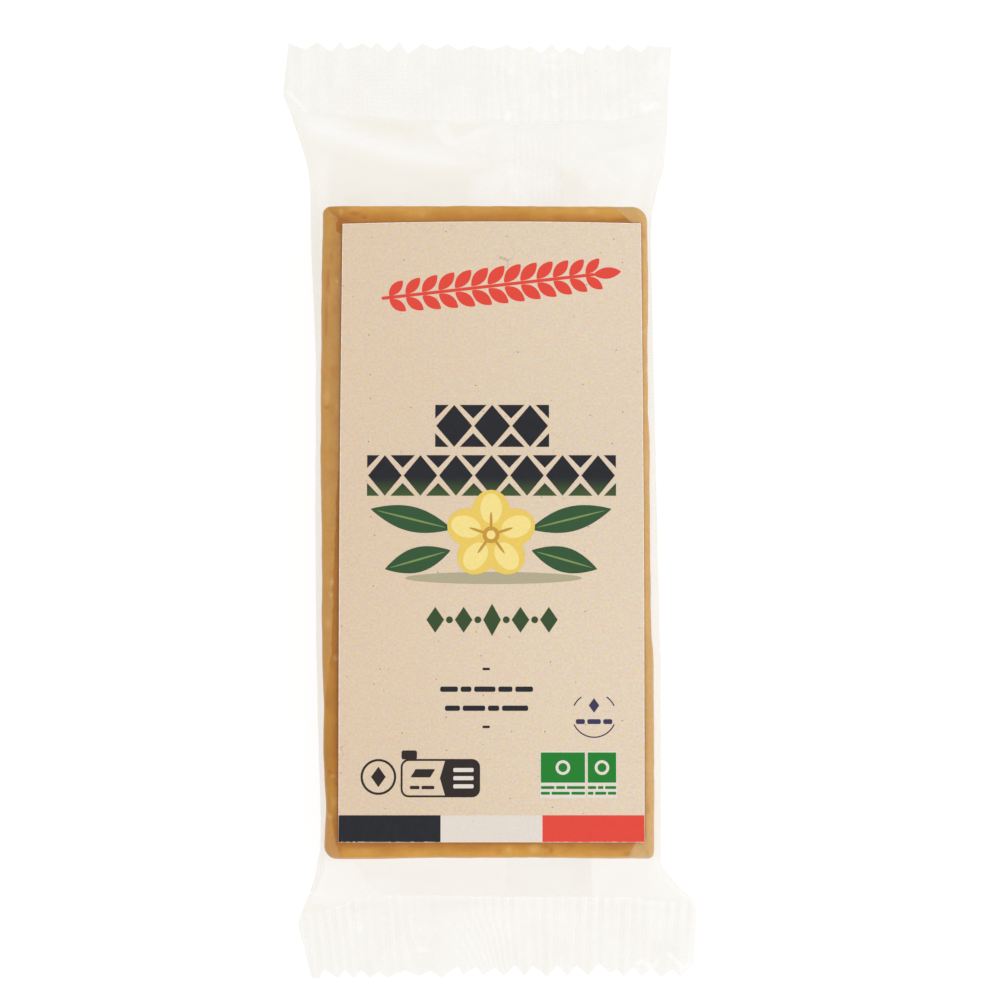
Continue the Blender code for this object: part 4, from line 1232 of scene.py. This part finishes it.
sprig = {"start": (-26.4, 50.2), "slant": 6.5, "reach": 54.0, "pairs": 13, "stem": 0.8,
         # length and spread of the leaves, and length and width of the one at the tip
         "leaf": (7.6, 42.0), "tip": (7.0, 2.9)}


# a slanting sprig of leaves on a stem, at the head of the label
def addSprig():
    (startX, startY), slant, reach = sprig["start"], sprig["slant"], sprig["reach"]
    longest, spread = sprig["leaf"]
    stepX, stepY = math.cos(math.radians(slant)), math.sin(math.radians(slant))
    for n in range(sprig["pairs"]):
        along = reach * (n + 0.35) / sprig["pairs"]
        size = longest * (0.8 + 0.2 * math.sin(math.pi * (n + 0.5) / sprig["pairs"]))
        for side in (-1, 1):
            turn = slant + side * spread
            x = startX + along * stepX + size * 0.52 * math.cos(math.radians(turn))
            y = startY + along * stepY + size * 0.52 * math.sin(math.radians(turn))
            addShape("red", placed(leafPoints(belly=0.75), x, y, size * 0.82, size * 0.40, turn))
    stem = roundedPoints(reach, sprig["stem"], 0.35)
    addShape("red", placed(stem, startX + reach / 2 * stepX, startY + reach / 2 * stepY, 1, 1, slant), 2)
    tipX, tipY = startX + (reach + 3.2) * stepX, startY + (reach + 3.2) * stepY
    addShape("red", placed(leafPoints(belly=0.75), tipX, tipY, *sprig["tip"], slant))


blossom = {
    "middle": (1.2, -9.6), "shadow": (44.0, 3.0), "petals": 5,
    "leaves": [(14, 20.5, 21), (-16, 19.0, 17)],             # turn, distance from the middle, length
    # parts of a petal: ink, distance from the middle, length, width, level; each petal lies a little higher
    # than the one before
    "parts": [("petal", 5.6, 11.4, 9.6, 3), ("glow", 6.6, 7.6, 5.4, 4), ("heart", 3.4, 4.6, 0.7, 5)],
    "petalStep": 0.15,
}


# five-petalled blossom between two pairs of leaves
def addBlossom():
    x, y = blossom["middle"]
    addShape("shadow", placed(ovalPoints(), x + 0.6, y - 10.8, *blossom["shadow"]))
    for side in (-1, 1):
        for turn, reach, size in blossom["leaves"]:
            angle = math.radians(turn)
            middle = (x + side * reach * math.cos(angle), y + reach * math.sin(angle) - 1.0)
            addShape("leaf", placed(leafPoints(belly=0.9), *middle, size, 6.2, side * turn), 1)
            addShape("vein", placed(leafPoints(belly=0.6), *middle, size * 0.86, 0.5, side * turn), 2)
    for n in range(blossom["petals"]):
        turn = 90 + 360 / blossom["petals"] * n
        angle = math.radians(turn)
        for ink, near, size, wide, level in blossom["parts"]:
            middle = (x + near * math.cos(angle), y + near * math.sin(angle))
            addShape(ink, placed(ovalPoints(28), *middle, size, wide, turn), level + blossom["petalStep"] * n)
    addShape("heart", placed(ovalPoints(), x, y, 4.2, 4.2), 6)
    addShape("glow", placed(ovalPoints(), x, y, 2.2, 2.2), 7)


# a divider of lozenges and beads, the middle lozenge the tallest
divider = {"left": -16.2, "right": 19.1, "y": -30.8, "count": 5, "tall": 6.4, "tallest": 8.0, "bead": 1.7}


def addDivider():
    left, y, count, bead = divider["left"], divider["y"], divider["count"], divider["bead"]
    pitch = (divider["right"] - left) / count
    for n in range(count):
        x = left + pitch * (n + 0.5)
        tall = divider["tallest"] if n == count // 2 else divider["tall"]
        addShape("green", placed(lozengePoints, x, y, pitch * 0.62, tall))
        if n:
            addShape("green", placed(ovalPoints(24), x - pitch / 2, y, bead, bead))


signs = {
    # rows of bars: left, right, y, height, lengths
    "lines": [(-0.9, 0.9, -43.0, 0.6, [1]), (-0.9, 0.9, -57.3, 0.6, [1]),
              (-11.4, 11.6, -48.0, 1.3, [5, 3, 6, 4, 5]), (-10.2, 10.4, -52.7, 1.3, [4, 6, 3, 7])],
    # middles of the round badge and its ring's radii and arcs (start, sweep), of the round sign, of the box
    "badge": (26.7, -54.4), "badgeRing": (5.6, 5.3), "badgeArcs": [(205, 130), (125, 30), (25, 30)],
    "disc": (-26.6, -69.6), "discRing": (4.4, 3.85),
    "box": (-11.3, -69.9),
    "fields": [(13.5, 24.4), (25.1, 32.1)], "fieldY": -67.3,   # left and right of each green field
}


# round badge with bars in it, and round sign
def addRoundSigns():
    x, y = signs["badge"]
    for start, sweep in signs["badgeArcs"]:
        addRing("navy", x, y, *signs["badgeRing"], start, sweep)
    addShape("navy", placed(lozengePoints, x, y + 2.4, 2.6, 3.6))
    addBars("navy", x - 4.5, x + 4.5, y - 1.6, 1.2, [2, 3, 2], 0.6)
    x, y = signs["disc"]
    addRing("brown", x, y, *signs["discRing"])
    addShape("brown", placed(lozengePoints, x, y, 3.6, 5.0))


# framed box with a tab, half open and half filled
def addSplitBox():
    x, y = signs["box"]
    addFrame("brown", roundedPoints(19.6, 9.4, 2.0), roundedPoints(18.65, 8.45, 1.55), x, y)
    filled = roundedPoints(8.0, 8.8, 1.7)
    filled = filled[:7] + [(-4.3, 4.4), (-5.6, 0.0), (-4.3, -4.4)] + filled[21:]
    addShape("brown", placed(filled, x + 5.5, y, 1, 1), 2)
    addShape("brown", placed(roundedPoints(3.8, 2.2, 0.5), x - 7.7, y + 5.7, 1, 1), 2)
    slanted = [(-0.5, -0.5), (0.3, -0.5), (0.5, 0.5), (-0.3, 0.5)]
    addShape("brown", placed(slanted, x - 4.3, y + 1.2, 6.0, 2.0), 3)
    addBars("brown", x - 7.5, x - 1.5, y - 2.3, 0.8, [3, 4], 0.5, 3)
    for n in range(3):
        addShape("white", placed(roundedPoints(5.0, 1.0, 0.3), x + 5.7, y + 2.0 - 2.0 * n, 1, 1), 3)


# two green fields on white, with bars under them
def addFields():
    y = signs["fieldY"]
    for left, right in signs["fields"]:
        middle = (left + right) / 2
        addShape("white", placed(boxPoints, middle, y - 1.7, right - left + 0.4, 11.6), 1)
        addShape("field", placed(boxPoints, middle, y, right - left, 7.4), 2)
        addShape("white", placed(ovalPoints(), middle, y, 3.6, 3.6), 3)
        addShape("field", placed(ovalPoints(), middle, y, 2.2, 2.2), 4)
        addBars("field", left, right, y - 4.9, 0.7, [3, 2, 4], 0.4, 2)
        addBars("field", left, right, y - 6.3, 0.7, [2, 4, 3], 0.4, 2)


# all shapes of one ink as thin prisms that sit on the paper
def makeInk(name, material):
    points, faces, first = [], [], 0
    for outline, level in inks[name]:
        flat = np.array(outline)
        ahead = np.roll(flat, -1, axis=0)
        if (flat[:, 0] * ahead[:, 1] - ahead[:, 0] * flat[:, 1]).sum() < 0:
            flat = flat[::-1]
        count, paper = len(flat), labelTop(flat[:, 0], flat[:, 1])
        for height in (paper + printing["base"] + printing["step"] * level, paper - 0.01):
            points.append(np.column_stack([flat, height]))
        faces.append(list(range(first, first + count)))
        faces.append(list(range(first + count, first + 2 * count))[::-1])
        for n in range(count):
            after = (n + 1) % count
            faces.append([first + n, first + count + n, first + count + after, first + after])
        first += 2 * count
    return makePiece("print" + name.capitalize(), np.concatenate(points), faces, [material], 20)


addStripe()
addSprig()
addFrieze("dark", -12.8, 15.7, 12.5, 23.1, 3)
addFrieze("fade", -29.8, 32.4, 0.2, 10.4, 7)
addBlossom()
addDivider()
for signLine in signs["lines"]:
    addBars("dark", *signLine)
addRoundSigns()
addSplitBox()
addFields()
prints = []
for inkName, inkTone in inkTones.items():
    inkMaterial = makeInkMaterial("ink" + inkName.capitalize(), inkTone, inkSpecks.get(inkName, 0.0),
                                  *inkFades.get(inkName, ()))
    prints.append(makeInk(inkName, inkMaterial))

print("stage 7: floor, light and camera")

studio = {
    "target": (0.00342, -0.0002, 0.008), "distance": 0.626, "elevation": 84.0, "lens": 89.32,
    "floorHalf": 3000.0, "floorTone": (0.14, 0.14, 0.14, 1.0), "floorGlow": 0.90,
    "world": 0.80,
    # lamps: place, width, depth and power
    "lamps": [((0.75, -0.25, 0.75), 0.7, 0.7, 3.0), ((0.05, 0.85, 0.65), 1.2, 0.25, 0.7),
              ((0.05, -0.90, 0.60), 1.2, 0.25, 0.7)],
}


def makeFloor():
    side = studio["floorHalf"]
    material, tree, shader = newMaterial("floorPaint")
    shader.inputs["Base Color"].default_value = studio["floorTone"]
    shader.inputs["Roughness"].default_value = 0.9
    shader.inputs["Specular IOR Level"].default_value = 0.0
    shader.inputs["Emission Color"].default_value = (1.0, 1.0, 1.0, 1.0)
    shader.inputs["Emission Strength"].default_value = studio["floorGlow"]
    corners = [(-side, -side, 0), (side, -side, 0), (side, side, 0), (-side, side, 0)]
    makePiece("floor", corners, [[0, 1, 2, 3]], [material])


def makeLights():
    world = bpy.data.worlds.new("studio")
    bpy.context.scene.world = world
    world.use_nodes = True
    background = world.node_tree.nodes["Background"]
    background.inputs["Color"].default_value = (1.0, 1.0, 1.0, 1.0)
    background.inputs["Strength"].default_value = studio["world"]
    for place, width, depth, power in studio["lamps"]:
        lamp = bpy.data.lights.new("softbox", "AREA")
        lamp.shape = "RECTANGLE"
        lamp.size, lamp.size_y = width, depth
        lamp.energy = power
        holder = bpy.data.objects.new(lamp.name, lamp)
        holder.location = place
        holder.rotation_euler = (-Vector(place)).to_track_quat("-Z", "Y").to_euler()
        bpy.context.scene.collection.objects.link(holder)


def makeCamera():
    lens = bpy.data.cameras.new("camera")
    lens.lens = studio["lens"]
    lens.clip_start = 0.01
    camera = bpy.data.objects.new("camera", lens)
    tilt = math.radians(studio["elevation"])
    back = Vector((0, -math.cos(tilt), math.sin(tilt)))
    camera.location = Vector(studio["target"]) + back * studio["distance"]
    camera.rotation_euler = (math.radians(90) - tilt, 0, 0)
    bpy.context.scene.collection.objects.link(camera)
    bpy.context.scene.camera = camera


makeFloor()
makeLights()
makeCamera()
bpy.context.scene.view_settings.view_transform = "Standard"

print("stage 8: pieces on the frame")

slots = {"marzipan": [marzipanBlock], "clear_film": [filmWrapper, backSeam],
         "label_paper": [paperLabel] + prints}
for slotName, pieces in slots.items():
    for piece in pieces:
        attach(piece, "root")
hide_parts("marzipan_block")
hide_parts("film_wrapper")
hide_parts("paper_label")
